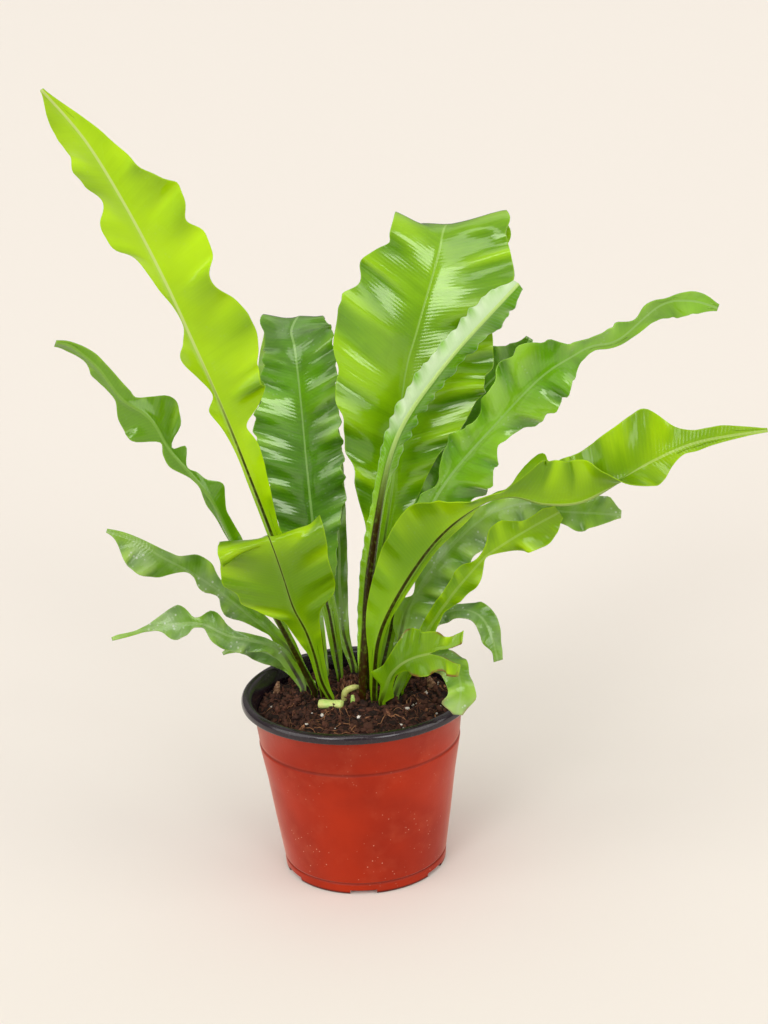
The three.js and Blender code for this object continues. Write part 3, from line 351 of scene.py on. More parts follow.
        "spine": [[25, 9, 104.5], [39, 2, 137], [50, -4, 158], [60, -8, 173], [69, -11, 185],
            [78, -14, 196], [87, -16, 203], [105, -20, 215], [121, -22, 224]],
        "across": [[-0.8, 0.3, 0.2], [-0.6, 0.2, 0.7], [-0.5, 0, 0.8], [-0.5, 0, 0.8]],
        "left": [2, 2.4, 2.9, 3.3, 3.7, 5.3, 5, 5, 5.2, 5.3, 5.3, 5.6, 5.8, 6.3, 7.2, 6.9, 3.2, 3.2, 6.8,
            11.8, 12.4, 8.3, 5.9, 6.1, 6.8, 5.3],
        "right": [2, 2.4, 2.9, 3.3, 3.6, 4.5, 5.1, 4.7, 4, 3.2, 2.5, 4.4, 6.1, 6.8, 7.8, 7.3, 4, 0.8,
            2.5, 5.8, 9.5, 11.4, 12.1, 12.4, 9.9, 4.6],
        "foldLeft": [5, 5], "foldRight": [5, 5],
        "waves": (3.5, 4, 0, 0.3), "pleats": [(17, 19, 2.4, 0.5, 0)],
    },
    "right_droop": {             # short, arching over and hanging
        "slot": "frond_dusty", "tone": -0.3, "ribDark": 0.2, "ribPale": 0.5,
        "spine": [[27, 20, 104.5], [33, 20, 127], [45, 15, 146], [59, 8, 155], [70, 1, 157],
            [77, -4, 153], [81, -8, 144], [84, -12, 130]],
        "across": [[-0.8, 0.3, 0.2], [-0.5, 0.5, 0.7], [0.2, 0.5, 0.8], [0.8, 0.4, 0.4], [0.9, 0.3, 0.2]],
        "left": [2, 2.5, 3, 3, 5.4, 4.5, 4.3, 4.8, 4.6, 4, 4.3, 4.5, 5, 7.1, 7.7, 7.1, 6.7, 5.5, 4.5, 3.4],
        "right": [2, 2.5, 3, 3.1, 3, 7.3, 7.8, 7.9, 7.4, 5.5, 5.8, 5.8, 6.4, 6.1, 5.8, 6.1, 6, 6, 2.1, 2.5],
        "foldLeft": [5, 5], "foldRight": [5, 5],
        "waves": (3, 2, 0, 0.3), "pleats": [(15, 17, 1.4, 0.4, 0.1)],
    },
    "front_right_small": {       # small and bitten, flops over the compost
        "slot": "frond_bright", "tone": -1.1, "ribDark": 0.1, "ribPale": 0.35, "scorch": 1.0, "bite": 0.25,
        "spine": [[14, -6, 104.5], [17, -13, 115], [22, -22, 130], [32, -33, 142], [46, -47, 151],
            [61, -58, 154]],
        "across": [[-0.7, 0.3, 0.6], [-0.6, 0.3, 0.7], [-0.1, 0.4, 0.9], [0.05, 0.4, 0.9],
            [0.05, 0.4, 0.9]],
        "left": [2, 2.3, 2.8, 3.5, 4.7, 12, 9.9, 8.2, 7.8, 8, 9.1, 10.7, 13.4, 17.9, 17.5, 16.1, 14.3,
            12.8, 12.6, 11.9, 9.6, 9.6, 11.9, 13.6],
        "right": [2, 3, 4.5, 6.2, 5, 4, 3.5, 3.2, 2.8, 3.4, 3.8, 4.7, 6.4, 9.1, 10.8, 12, 12.3, 11.9,
            10.8, 10.3, 10.3, 12.2, 13.4, 12.5],
        "foldLeft": [5, 5], "foldRight": [5, 5],
        "waves": (3, 3, 0, 0.5), "pleats": [(15, 17, 1.8, 0.4, 0.1)],
    },
    "front_right_under": {       # dusty, hangs over the rim
        "slot": "frond_dusty", "tone": 0.2, "ribDark": 0.1, "ribPale": 0.4, "scorch": 0.6,
        "spine": [[22, 1, 104.5], [31, -6, 126], [44, -18, 137], [55, -38, 142], [60, -51, 132],
            [57, -55, 116]],
        "across": [[-0.8, 0.3, 0.2], [-0.2, 0.6, 0.7], [0.6, 0.5, 0.5], [0.9, 0.2, 0], [0.95, 0.1, 0]],
        "left": [2, 2.5, 3, 3, 3.1, 3.6, 4.1, 4.6, 5.4, 6.5, 7.3, 6.8, 7.2, 8.1, 7.8, 6.2, 7.8, 9.4, 6.4,
            3.6],
        "right": [2, 2.5, 3, 3, 3.1, 3.5, 4.3, 5.3, 6.4, 7.1, 8.9, 10.8, 12.6, 13.2, 10.3, 8.6, 7.9, 7.7,
            9.9, 2.3],
        "foldLeft": [5, 5], "foldRight": [5, 5],
        "waves": (3, 2, 0, 0.5), "pleats": [(14, 15, 1.6, 0.4, 0.1)],
    },
    "front_left": {              # short and broad, its top bent back
        "slot": "frond_bright", "tone": -0.8, "ribDark": 0.95, "darkWide": 0.55,
        "spine": [[-15.5, 1.5, 104.5], [-21, -4, 120], [-24, -10, 139], [-28, -16, 157],
            [-34, -24, 175], [-38, -32, 196], [-42, -40, 216], [-45, -37, 222], [-50, -16, 212],
            [-51, -2, 196]],
        "across": [[1, 0, 0.2], [1, -0.05, 0.2], [1, -0.05, 0.1]],
        "left": [2, 2.5, 3.7, 4.6, 4.9, 5.6, 6.7, 8.2, 10.3, 14.7, 24.1, 27.1, 27.4, 27.8, 27.8, 29.3,
            30.6, 31.6, 34.3, 34, 33, 27, 16, 4],
        "right": [2, 2.5, 3, 2.8, 3.1, 3.9, 6.1, 7.8, 9, 10.1, 20.3, 28.6, 29.4, 35.4, 35.6, 33.6, 32.3,
            30.4, 27.3, 25, 23, 19, 11, 4],
        "foldLeft": [5, 5], "foldRight": [5, 5],
        "waves": (3, 2, 0, 0.5), "pleats": [(23, 25, 2.2, 0.5, 0.1), (11, 12, 0.6, 0.2, 0.2)],
    },
    "middle_left": {             # narrow twisted ribbon
        # its low tone darkens the whole blade: partly its own olive colour, partly painted shade
        "slot": "frond_green", "tone": -1.3, "ribDark": 0.3, "ribPale": 0.3,
        "spine": [[-26, 14, 104.5], [-39, 8, 140], [-53, 0, 177], [-68, -1, 209], [-77, -8, 235],
            [-87, -12, 252], [-99, -16, 270], [-108, -20, 290], [-122, -24, 303], [-133, -28, 322],
            [-146, -30, 335], [-154, -32, 338]],
        "across": [[0.9, 0, 0.4], [0.8, -0.2, 0.5], [0.6, -0.6, 0.5], [0.8, -0.2, 0.5],
            [0.5, 0.5, 0.5], [0.5, -0.2, 0.8], [0.4, -0.3, 0.8]],
        "left": [2, 2, 2, 1.9, 2.5, 3, 3, 3, 3, 2.9, 3.1, 3.8, 4.1, 4, 3.9, 4.2, 5.8, 5.4, 4.8, 4.6, 7.3,
            10.6, 5.2, 3.8, 1.1, 11.1, 2.4, 16.4, 21.6, 19.4, 10.1, 5.4, 6.5, 6.2, 5.5, 4.8, 4.9, 3.9,
            2.2, 1.3],
        "right": [2, 2, 2, 2, 2, 2, 1.9, 2.3, 3, 3.1, 3, 3, 3, 3, 3.6, 4.1, 4, 4.1, 3.9, 4.5, 5.3, 3.6,
            0.9, 1.6, 4.1, 6.2, 4.7, 2.2, 13.8, 16.4, 17.2, 13.2, 4.7, 4.5, 6.8, 7.5, 3.9, 4.2, 5.6, 3.8],
        "foldLeft": [20, 20], "foldRight": [20, 20],
        "waves": (7, 2, 0, 0.5), "pleats": [(19, 21, 2.4, 0.5, 0.1)],
    },
    "left_low_upper": {          # dusty, low on the left
        "slot": "frond_dusty", "tone": -0.1, "ribDark": 0.2, "ribPale": 0.45,
        "spine": [[-25, 24, 104.5], [-32, 26, 109], [-42, 26, 130], [-63, 24, 152], [-79, 20, 169],
            [-95, 16, 184], [-113, 10, 198], [-125, 8, 208], [-142, 4, 217]],
        "across": [[-0.9, 0, -0.3], [-0.6, -0.3, -0.7], [-0.4, -0.4, -0.8], [-0.4, -0.4, -0.8]],
        "left": [2, 2.6, 3, 3, 3.4, 4, 5.7, 5, 3.7, 2.2, 2.9, 3.7, 4.6, 6, 8.2, 9.4, 7.5, 3.2, 3.8, 5.8,
            5.2, 1.6, 1, 3.4, 7.2, 11.6, 13.7, 16.5, 16, 15.1, 13.4, 6.9, 2.5, 0.8],
        "right": [2, 2.6, 3.1, 3, 2.9, 3, 1.7, 2.7, 4.1, 4.8, 5.4, 6, 6.3, 6, 5.6, 5.5, 5.4, 5.8, 6.3,
            8.2, 10.9, 11.8, 11.2, 8.1, 5.3, 4.9, 4.5, 4, 3.2, 2.7, 2.7, 2.7, 2.3, 1.6],
        "foldLeft": [5, 5], "foldRight": [5, 5],
        "waves": (4, 1.5, 0, 0.5), "pleats": [(18, 20, 1.8, 0.5, 0.1)],
    },
    "left_low_lower": {          # dusty, lowest on the left
        "slot": "frond_dusty", "tone": -0.1, "ribDark": 0.2, "ribPale": 0.45,
        "spine": [[-33, 20, 104.5], [-39, 18, 119], [-46, 14, 133], [-56, 10, 140], [-76, 4, 148],
            [-92, 0, 158], [-112, -6, 160], [-133, -12, 158], [-142, -14, 156]],
        "across": [[-0.9, 0, -0.3], [-0.5, -0.4, -0.7], [-0.2, -0.5, -0.8], [-0.1, -0.5, -0.8]],
        "left": [2, 2.5, 3.1, 3.7, 3.9, 4.2, 4.4, 4.6, 5.2, 5.4, 5.1, 4.6, 5.7, 6.6, 7.4, 8.1, 8.8, 8.5,
            8.3, 7.9, 7.2, 4.6, 2, 2.4, 3.2, 7, 8.3, 9.4, 8.3, 4.1, 2.2, 1.7, 1.3, 1.5, 1.6, 1.6, 1.3, 0.8],
        "right": [2, 2.5, 3.1, 3.7, 4.1, 3.6, 3.2, 2.9, 3, 2.7, 2.6, 3.2, 3.6, 3.6, 3.8, 4, 4, 4.1, 5.6,
            6.6, 8, 9.5, 8.9, 4.3, 3.6, 8.5, 11.4, 10.2, 8.2, 6.2, 4.3, 2.6, 1.7, 0.9, 0.8, 1, 1.4, 1.2],
        "foldLeft": [5, 5], "foldRight": [5, 5],
        "waves": (5, 1.5, 0, 0.5), "pleats": [(17, 18, 1.6, 0.5, 0.1)],
    },
    "left_back_low": {           # short, behind the lowest left one
        "slot": "frond_dusty", "tone": -0.1, "ribDark": 0.2,
        "spine": [[-32, 32, 104.5], [-38, 36, 108], [-46, 40, 115], [-59, 42, 122], [-72, 40, 127],
            [-83, 38, 123]],
        "across": [[-0.8, 0, -0.5], [-0.5, -0.4, -0.8], [-0.2, -0.5, -0.8]],
        "left": [2, 3, 4, 5, 6, 7, 7, 6, 5, 3, 1],
        "right": [2, 3, 4, 5, 6, 6, 6, 6, 4, 2, 1],
        "foldLeft": [5, 5], "foldRight": [5, 5],
        "waves": (3, 2, 0, 0.5), "pleats": [(17, 19, 0.8, 0.3, 0.2)],
    },
    "left_back_sliver": {        # grey-green, at the back
        "slot": "frond_dusty", "tone": 0.5, "ribDark": 0.3,
        "spine": [[-20, 42, 104.5], [-25, 62, 147], [-35, 88, 218], [-42, 100, 268], [-46, 110, 314]],
        "across": [[-0.9, 0, -0.3], [-0.9, 0, -0.3]],
        "left": [2, 3, 4, 6, 9, 12, 13, 13, 12, 9, 2],
        "right": [2, 3, 4, 6, 9, 12, 13, 13, 12, 9, 2],
        "foldLeft": [5, 5], "foldRight": [5, 5],
        "waves": (3, 2, 0, 0.5), "pleats": [(17, 19, 1, 0.3, 0.2)],
    },
    "back_centre": {             # narrow, at the back
        "slot": "frond_dusty", "tone": 0, "ribDark": 0.2,
        "spine": [[-2, 45, 104.5], [-7, 56, 121], [-9, 62, 146], [-8, 70, 183], [-8, 80, 226],
            [-8, 86, 263]],
        "across": [[-1, 0, 0], [-1, 0, 0]],
        "left": [2, 3, 4, 5, 5, 5, 5, 5, 5, 4, 1],
        "right": [2, 3, 4, 5, 5, 5, 5, 5, 5, 4, 1],
        "foldLeft": [10, 10], "foldRight": [10, 10],
        "waves": (5, 2, 0, 0.5), "pleats": [(17, 19, 0.6, 0.3, 0.2)],
    },
    "back_right_low": {          # narrow and low, at the back right
        "slot": "frond_dusty", "tone": -0.1, "ribDark": 0.2,
        "spine": [[14, 36, 104.5], [16, 42, 107], [21, 48, 119], [29, 54, 134], [38, 60, 146]],
        "across": [[-0.8, 0, 0.3], [-0.8, 0, 0.5]],
        "left": [2, 2.5, 3, 4, 5, 6, 8, 8, 8, 6, 1],
        "right": [2, 2.5, 3, 4, 6, 8, 9, 9, 8, 6, 1],
        "foldLeft": [10, 10], "foldRight": [10, 10],
        "waves": (5, 2, 0, 0.5), "pleats": [(17, 19, 0.6, 0.3, 0.2)],
    },
}


# Fronds: one closed thin blade each, with a raised rib, rippled halves and a stalk that stands in the compost
frondMake = {                                   # mm and degrees
    "ringStep": 1.7, "acrossStep": 1.7,         # spacing of the points along and across
    "ribZone": 4.2, "ribSteps": (0.12, 0.28, 0.48, 0.72, 1.0),      # closer points over the rib
    "marginBand": 0.3,                          # last row of points inside the margin
    "thickness": 0.55, "narrowest": 0.6,
    "ribBase": 4.4, "ribTip": 1.2, "ribHalfWidth": 2.0,
    "veinAngle": 68,                            # side veins leave the rib at this angle, toward the tip
    "sink": 6,                                  # how far the stalk goes on below the compost
}


def midrib(frond, share):                       # points and directions at equal steps of length
    steps = np.linspace(0, 1, 401)
    line = smoothList(frond["spine"], steps)
    lengths = np.concatenate([[0], np.cumsum(np.linalg.norm(np.diff(line, axis=0), axis=1))])
    at = np.interp(np.clip(share, 0, 1) * lengths[-1], lengths, steps)
    ahead = smoothList(frond["spine"], np.minimum(at + 0.001, 1))
    behind = smoothList(frond["spine"], np.maximum(at - 0.001, 0))
    return smoothList(frond["spine"], at), unit(ahead - behind), lengths[-1]


def crossPlaces(frond, along):                  # places across each ring, from 1 at the left margin to -1
    perHalf = max(int(max(frond["left"] + frond["right"]) / frondMake["acrossStep"]), 5)
    outer = np.linspace(0, 1, perHalf + 1)[1:]
    halves = []
    for side in ("left", "right"):
        half = np.maximum(smoothList(frond[side], along), frondMake["narrowest"])
        zone = np.minimum(frondMake["ribZone"] / half, 0.5)[:, None]
        rim = 1 - np.minimum(frondMake["marginBand"] / half, 0.1)[:, None]
        rest = zone + (1 - zone) * outer
        rest = np.concatenate([rest[:, :-1] * rim, rim, rest[:, -1:]], axis=1)
        halves.append(np.concatenate([zone * np.array(frondMake["ribSteps"]), rest], axis=1))
    return np.concatenate([halves[0][:, ::-1], np.zeros((len(along), 1)), -halves[1]], axis=1)


def bladeSurface(frond, share, place):          # the waved blade before its ripples
    point, along, length = midrib(frond, share)
    across = smoothList(frond["across"], share)
    across = unit(across - along * (across * along).sum(-1, keepdims=True))
    up = np.cross(along, across)
    left = place > 0
    half = np.where(left, smoothList(frond["left"], share), smoothList(frond["right"], share))
    half = np.maximum(half, frondMake["narrowest"])
    fold = np.where(left, smoothList(frond["foldLeft"], share), smoothList(frond["foldRight"], share))
    fold = np.radians(fold)
    count, height, phaseLeft, phaseRight = frond["waves"]
    reach = np.abs(place)
    strength = np.clip(half / max(frond["left"] + frond["right"]) * 1.25 - 0.2, 0, 1)
    turn = fullTurn * (count * (share - 0.035 * reach) + np.where(left, phaseLeft, phaseRight))
    wave = height * strength * reach ** 1.5 * np.sin(turn)
    out = np.sign(place) * half * reach * np.cos(fold)
    rise = half * reach * np.sin(fold) + wave
    return point + across * out[..., None] + up * rise[..., None], half, strength, length


def gridNormals(grid):
    alongStep = np.gradient(grid, axis=0)
    acrossStep = np.gradient(grid, axis=1)      # this runs from the left margin to the right one
    return unit(np.cross(acrossStep, alongStep))


def wander(rng, x, lengths):                    # smooth irregular line between about -1 and 1
    total = 0
    for length in lengths:
        total = total + np.sin(fullTurn * (x / length + rng.random()))
    return total / len(lengths)


def rippleHeight(rng, frond, veinLine, reach, half, left):     # pleats between the side veins
    total = np.zeros_like(reach)
    for pitchLeft, pitchRight, height, skew, start in frond["pleats"]:
        pitch = np.where(left, pitchLeft, pitchRight)
        wobble = np.where(left, wander(rng, veinLine, (61, 37, 23)), wander(rng, veinLine, (57, 41, 19)))
        size = 0.7 + 0.3 * np.where(left, wander(rng, veinLine, (83, 31)), wander(rng, veinLine, (77, 29)))
        turn = fullTurn * veinLine / pitch + 1.3 * wobble + np.where(left, 0.0, 2.1)
        grow = ease(start, 1.0, reach) if start < 0.5 else reach ** 4
        total += height * size * grow * np.sin(turn + skew * np.sin(turn)) * np.clip(half / pitch * 1.6, 0, 1)
    return total


def scallopStep(rng, frond, veinLine, reach, strength, left):  # the margin runs in and out with the ripples
    pitch, size, phaseLeft, phaseRight = frond["scallop"]
    turn = fullTurn * (veinLine / pitch + np.where(left, phaseLeft, phaseRight))
    turn = turn + 0.9 * np.where(left, wander(rng, veinLine, (71, 43)), wander(rng, veinLine, (67, 47)))
    return size * reach ** 3 * np.sin(turn + 0.6 * np.sin(turn)) * np.clip(strength * 1.6, 0, 1)


def closedBlade(frond, grid, share, fromRib):   # top and underside round the blade, and the stalk's end
    normals = gridNormals(grid)
    thickness = frondMake["thickness"]
    ribHeight = frondMake["ribBase"] + (frondMake["ribTip"] - frondMake["ribBase"]) * np.sqrt(share)
    keel = (ribHeight - thickness) * np.exp(-(fromRib / frondMake["ribHalfWidth"]) ** 2)
    top = grid + normals * (thickness / 2 + 0.35 * keel)[..., None]
    under = grid - normals * (thickness / 2 + 0.65 * keel)[..., None]
    rings = np.concatenate([top, under[:, ::-1]], axis=1)
    foot = rings[:1] * 1.0                      # the stalk goes straight on into the compost
    foot[..., 2] = frond["spine"][0][2] - frondMake["sink"]
    foot[..., :2] = 0.8 * foot[..., :2] + 0.2 * foot[..., :2].mean(axis=1, keepdims=True)
    rings = np.concatenate([foot, rings], axis=0)
    around = rings.shape[1]
    faces = tubeWall(len(rings), around)
    end = (len(rings) - 1) * around
    for j in range(around // 2 - 1):
        other = around - 1 - j
        faces.append((j, other, other - 1, j + 1))
        faces.append((end + j, end + j + 1, end + other - 1, end + other))
    return rings.reshape(-1, 3), faces


def bothFaces(values):                          # one number for each point, top and underside
    rows = np.concatenate([values, values[:, ::-1]], axis=1)
    return np.concatenate([rows[:1], rows], axis=0)


def makeFrond(index, name, frond, materials):
    rng = np.random.default_rng(100 + index)
    length = midrib(frond, np.array([0.0]))[2]
    rings = max(int(length / frond.get("ringStep", frondMake["ringStep"])), 40)
    along = np.linspace(2.0 / length, 1, rings)
    place = crossPlaces(frond, along)
    reach, left = np.abs(place), place > 0
    share = np.repeat(along[:, None], place.shape[1], axis=1)
    share = share * (1 - frond.get("bite", 0) * np.maximum(0, 1 - reach / 0.45))

    grid, half, strength, length = bladeSurface(frond, share, place)
    fromRib = reach * half
    veinLine = share * length - fromRib / math.tan(math.radians(frondMake["veinAngle"]))
    taper = ease(0, 0.14, share) * ease(0, 0.06, 1.02 - share)
    ripple = rippleHeight(rng, frond, veinLine, reach, half, left) * taper
    # the ripple height, used only to paint the pleat crests lighter and the troughs darker: painted light and
    # shade
    foldLightAndShade = ripple / sum(pleat[2] for pleat in frond["pleats"])
    if "scallop" in frond:
        step = scallopStep(rng, frond, veinLine, reach, strength, left) * np.where(left, -1, 1)
        grid = grid + unit(np.gradient(grid, axis=1)) * step[..., None]
    grid = grid + gridNormals(grid) * (ripple * np.clip(strength * 1.6, 0, 1))[..., None]
    points, faces = closedBlade(frond, grid, share, fromRib)

    fromMargin = (1 - reach) * half
    if "bite" in frond:                         # the bitten end counts as margin too
        fromMargin = np.minimum(fromMargin, (1 - along[:, None]) * length * 0.8)
    # tone: the frond's own tone and a slow random change along it, plus painted light on the pleat crests and
    # painted shade in the troughs
    tone = frond["tone"] + 0.35 * wander(rng, share * length, (130, 70)) + 1.3 * foldLightAndShade
    if "paleSide" in frond:                     # one half has rolled over and shows its pale wet-looking skin
        pale = ease(0.55, 0.63, share)
        # here too the pleat crests are painted lighter and the troughs darker
        tone = 1.7 * foldLightAndShade - 0.6 + np.where(place * frond["paleSide"] > 0, 1.2 * pale, 0)
    darkHalf = frond.get("darkWide", 1.0) * (0.6 + 0.85 * (1 - ease(0, 0.6, share)))
    numbers = {
        "veinLine": veinLine, "fromRib": fromRib, "fromDark": fromRib / darkHalf, "fromMargin": fromMargin,
        "ribDark": 1 - ease(frond["ribDark"] - 0.12, frond["ribDark"] + 0.12, share),
        "alongShare": share, "tone": tone, "ribPale": frond.get("ribPale", 1.0) * np.ones_like(share),
        "scorch": frond.get("scorch", 0.0) * ease(0.45, 0.6, share),
    }
    numbers = {key: bothFaces(values) for key, values in numbers.items()}
    upper = np.concatenate([np.ones_like(share), -np.ones_like(share)], axis=1)
    numbers["upperSide"] = np.concatenate([upper[:1], upper], axis=0)
    return addPiece("leaf_" + name, points, faces, [materials[frond["slot"]]],
                    ["frond_" + name], None, numbers)


leafLooks = {  # colours as seen on the blade; dust is dried hard-water marks, glow is light through the blade
    "frond_bright": {
        "blade": "b0d600", "deep": "6c9c00", "young": "dcff08", "under": "b8e400", "rib": "e0ec98",
        "gloss": 0.31, "wax": 0.55, "glow": 0.4, "dust": 0.04, "tip": 0.15, "stalk": 0.36},
    "frond_young": {
        "blade": "7cc010", "deep": "549404", "young": "f0fce0", "under": "80c010", "rib": "c0dc80",
        "gloss": 0.26, "wax": 0.6, "glow": 0.2, "dust": 0.0, "tip": 0.0, "stalk": 0.62},
    "frond_green": {
        "blade": "80b600", "deep": "508800", "young": "bcec18", "under": "98cc00", "rib": "a8d060",
        "gloss": 0.21, "wax": 1.0, "glow": 0.3, "dust": 0.03, "tip": 0.12, "stalk": 0.36},
    "frond_dark": {
        "blade": "62a40a", "deep": "3c7000", "young": "a0d82c", "under": "78b018", "rib": "98c468",
        "gloss": 0.21, "wax": 1.0, "glow": 0.22, "dust": 0.15, "tip": 0.1, "stalk": 0.36},
    "frond_dusty": {
        "blade": "72a420", "deep": "467808", "young": "a8d048", "under": "82ae38", "rib": "9cbc70",
        "gloss": 0.36, "wax": 0.6, "glow": 0.22, "dust": 0.7, "tip": 0.1, "stalk": 0.36},
}
leafSkin = {                                    # what all five finishes share; sizes in mm
    "mottle": 38.46, "patch": 16.67,            # clouds of colour, patches of drops and of scorch
    "drop": 3.03, "fine": 2.381,                # spacing of dried drops, grain of the skin
    "vein": 2.1,                                # 1.7 mm on the real leaf, drawn wider so that it shows
    "veinWaver": 3.0, "streakAcross": 4.545, "streakAlong": 50, "relief": 0.08,
    "stalkGreen": "98cc14", "scales": "341608", "scorched": "8a5a24", "dried": "d4dccb",
    "shine": "dcff8c", "through": "b4e010",     # tint of the gloss and of the light that comes through
    "glossLevel": 0.65, "coatLevel": 0.95, "coatRoughness": 0.13, "coatIor": 1.6, "ior": 1.45,
}


def leafMaterial(slot, look):
    # living fern leaf: thick waxy skin over soft flesh gives broad pale highlights,
    # close side veins break them up, and light from behind shows yellow-green
    material, tree = newMaterial("livingFernLeaf_" + slot)
    here = addNode(tree, "TexCoord").outputs["Object"]
    source = {}                                 # every number that the skin is worked out from, by name
    for key in ("veinLine", "fromRib", "fromDark", "fromMargin", "ribDark", "alongShare", "tone", "ribPale",
                "scorch", "upperSide"):
        source[key] = addNode(tree, "Attribute", attribute_name=key).outputs["Fac"]
    for key, detail in (("mottle", 3.0), ("fine", 2.0), ("patch", 4.0)):
        source[key] = addNode(tree, "TexNoise", {
            "Vector": here, "Scale": perMetre(leafSkin[key]), "Detail": detail}).outputs["Fac"]
    source["drop"] = addNode(tree, "TexVoronoi", {"Vector": here, "Scale": perMetre(leafSkin["drop"])},
                             feature="F1").outputs["Distance"]
    # the pale rib narrows toward the tip
    source["ribWidth"] = addNode(tree, "MapRange", {0: source["alongShare"], 1: 0.0, 2: 0.6, 3: 1.7, 4: 0.75},
                                 interpolation_type="SMOOTHSTEP").outputs[0]
    sums = {                                    # an operation and the names or numbers that go into it
        "bent": ("MULTIPLY_ADD", "mottle", leafSkin["veinWaver"], "veinLine"),  # side veins waver a little
        "veinTurn": ("MULTIPLY", "bent", fullTurn / leafSkin["vein"]), "vein": ("SINE", "veinTurn"),
        "alongVein": ("MULTIPLY", "bent", 1 / leafSkin["streakAcross"]),
        "outward": ("MULTIPLY", "fromRib", 1 / leafSkin["streakAlong"]),
        "ribPlace": ("DIVIDE", "fromRib", "ribWidth"), "bareRib": ("MULTIPLY_ADD", "ribDark", -0.85, 1.0),
        "grain": ("MULTIPLY", "fine", 0.6), "relief": ("MULTIPLY_ADD", "vein", 0.4, "grain"),
    }
    for name, (operation, *parts) in sums.items():
        inputs = {place: source.get(part, part) for place, part in enumerate(parts)}
        source[name] = addNode(tree, "Math", inputs, operation=operation).outputs[0]
    # long streaks follow the veins
    flow = addNode(tree, "CombineXYZ", {
        0: source["alongVein"], 1: source["outward"], 2: source["upperSide"]}).outputs[0]
    source["streak"] = addNode(tree, "TexNoise", {"Vector": flow, "Scale": 1.0, "Detail": 3.0}).outputs["Fac"]

    ramps = {                                   # each reads a number and says where it starts and ends
        "mottled": ("mottle", 0.35, 0.68, 0.0, 1.0), "streaked": ("streak", 0.42, 0.66, 0.0, 0.45),
        # the two ramps on the tone carry the frond's own paler and deeper colour, and also painted light on
        # the pleat crests and painted shade in the troughs
        "underside": ("upperSide", 0.5, -0.5, 0.0, 0.75), "paleToneAndCrestLight": ("tone", -0.4, 1.0, 0.0, 0.75),
        "deepToneAndTroughShade": ("tone", -0.1, -1.1, 0.0, 0.9), "tip": ("alongShare", 0.5, 1.0, 0.0, look["tip"]),
        "veined": ("vein", 0.35, 1.0, 0.0, 0.05), "margin": ("fromMargin", 0.9, 0.2, 0.0, 0.25),
        "stalk": ("alongShare", look["stalk"], look["stalk"] - 0.22, 0.0, 0.75),
        "onRib": ("ribPlace", 1.15, 0.75, 0.0, 1.0), "ribBright": ("alongShare", 0.12, 0.45, 0.25, 0.85),
        "onDark": ("fromDark", 1.0, 0.65, 0.0, 1.0), "fray": ("fine", 0.25, 0.5, 0.75, 1.0),
        "nearEdge": ("fromMargin", 1.6, 0.5, 0.0, 1.0), "burnt": ("patch", 0.5, 0.58, 0.0, 1.0),
        "dropMark": ("drop", 0.34, 0.16, 0.0, look["dust"]), "wetPatch": ("patch", 0.5, 0.62, 0.0, 1.0),
        "film": ("patch", 0.35, 0.75, 0.0, 0.35 * look["dust"]),
        "rough": ("mottle", 0.3, 0.7, look["gloss"] - 0.05, look["gloss"] + 0.08),
    }
    products = {
        "ribLine": ("onRib", "ribBright", "bareRib", "ribPale"),
        "scales": ("onDark", "ribDark", "fray"),            # brown scales thin out up the rib
        "scorched": ("nearEdge", "burnt", "scorch"),        # an old bite has dried brown along the margin
        "grains": ("dropMark", "wetPatch"),                 # dried drops are small pale grains in patches
    }
    # from mottled flesh over the bright stalk to the rib and what lies on it
    layers = (
        ("mottled", look["deep"]), ("streaked", look["deep"]), ("underside", look["under"]),
        ("paleToneAndCrestLight", look["young"]), ("deepToneAndTroughShade", look["deep"]), ("tip", look["young"]), ("veined", look["young"]),
        ("margin", look["young"]), ("stalk", leafSkin["stalkGreen"]), ("ribLine", look["rib"]),
        ("scales", leafSkin["scales"]), ("scorched", leafSkin["scorched"]))
    colour = layColours(tree, source, look["blade"], ramps, products, layers)
    dried = addNode(tree, "Math", {0: source["grains"], 1: source["film"]}, operation="MAXIMUM").outputs[0]
    colour = addNode(tree, "Mix", {0: dried, 6: colour, 7: linear(leafSkin["dried"])},
                     data_type="RGBA").outputs[2]

    bump = addNode(tree, "Bump", {
        "Strength": 0.4, "Distance": leafSkin["relief"] * mm, "Height": source["relief"]}).outputs[0]
    rough = addNode(tree, "Math", {0: dried, 1: 0.3, 2: source["rough"]}, operation="MULTIPLY_ADD").outputs[0]
    wax = leafSkin["coatLevel"] * look["wax"]   # the brown scales have none
    waxed = addNode(tree, "Math", {0: source["scales"], 1: -wax, 2: wax},
                    operation="MULTIPLY_ADD").outputs[0]
    skin = addNode(tree, "BsdfPrincipled", {
        "Base Color": colour, "Roughness": rough, "Normal": bump, "IOR": leafSkin["ior"],
        "Specular IOR Level": leafSkin["glossLevel"] * look["wax"],
        "Specular Tint": linear(leafSkin["shine"]), "Coat Weight": waxed, "Coat Normal": bump,
        "Coat Roughness": leafSkin["coatRoughness"], "Coat IOR": leafSkin["coatIor"]})
    through = addNode(tree, "Mix", {0: 0.4, 6: colour, 7: linear(leafSkin["through"])},
                      data_type="RGBA").outputs[2]
    light = addNode(tree, "BsdfTranslucent", {"Color": through})
    both = addNode(tree, "MixShader", {0: look["glow"], 1: skin.outputs[0], 2: light.outputs[0]})
    addNode(tree, "OutputMaterial", {"Surface": both.outputs[0]})
    return material


leafMaterials = {slot: leafMaterial(slot, look) for slot, look in leafLooks.items()}
for index, (name, frond) in enumerate(fronds.items()):
    makeFrond(index, name, frond, leafMaterials)
print("fronds:", len(fronds), "blades made")


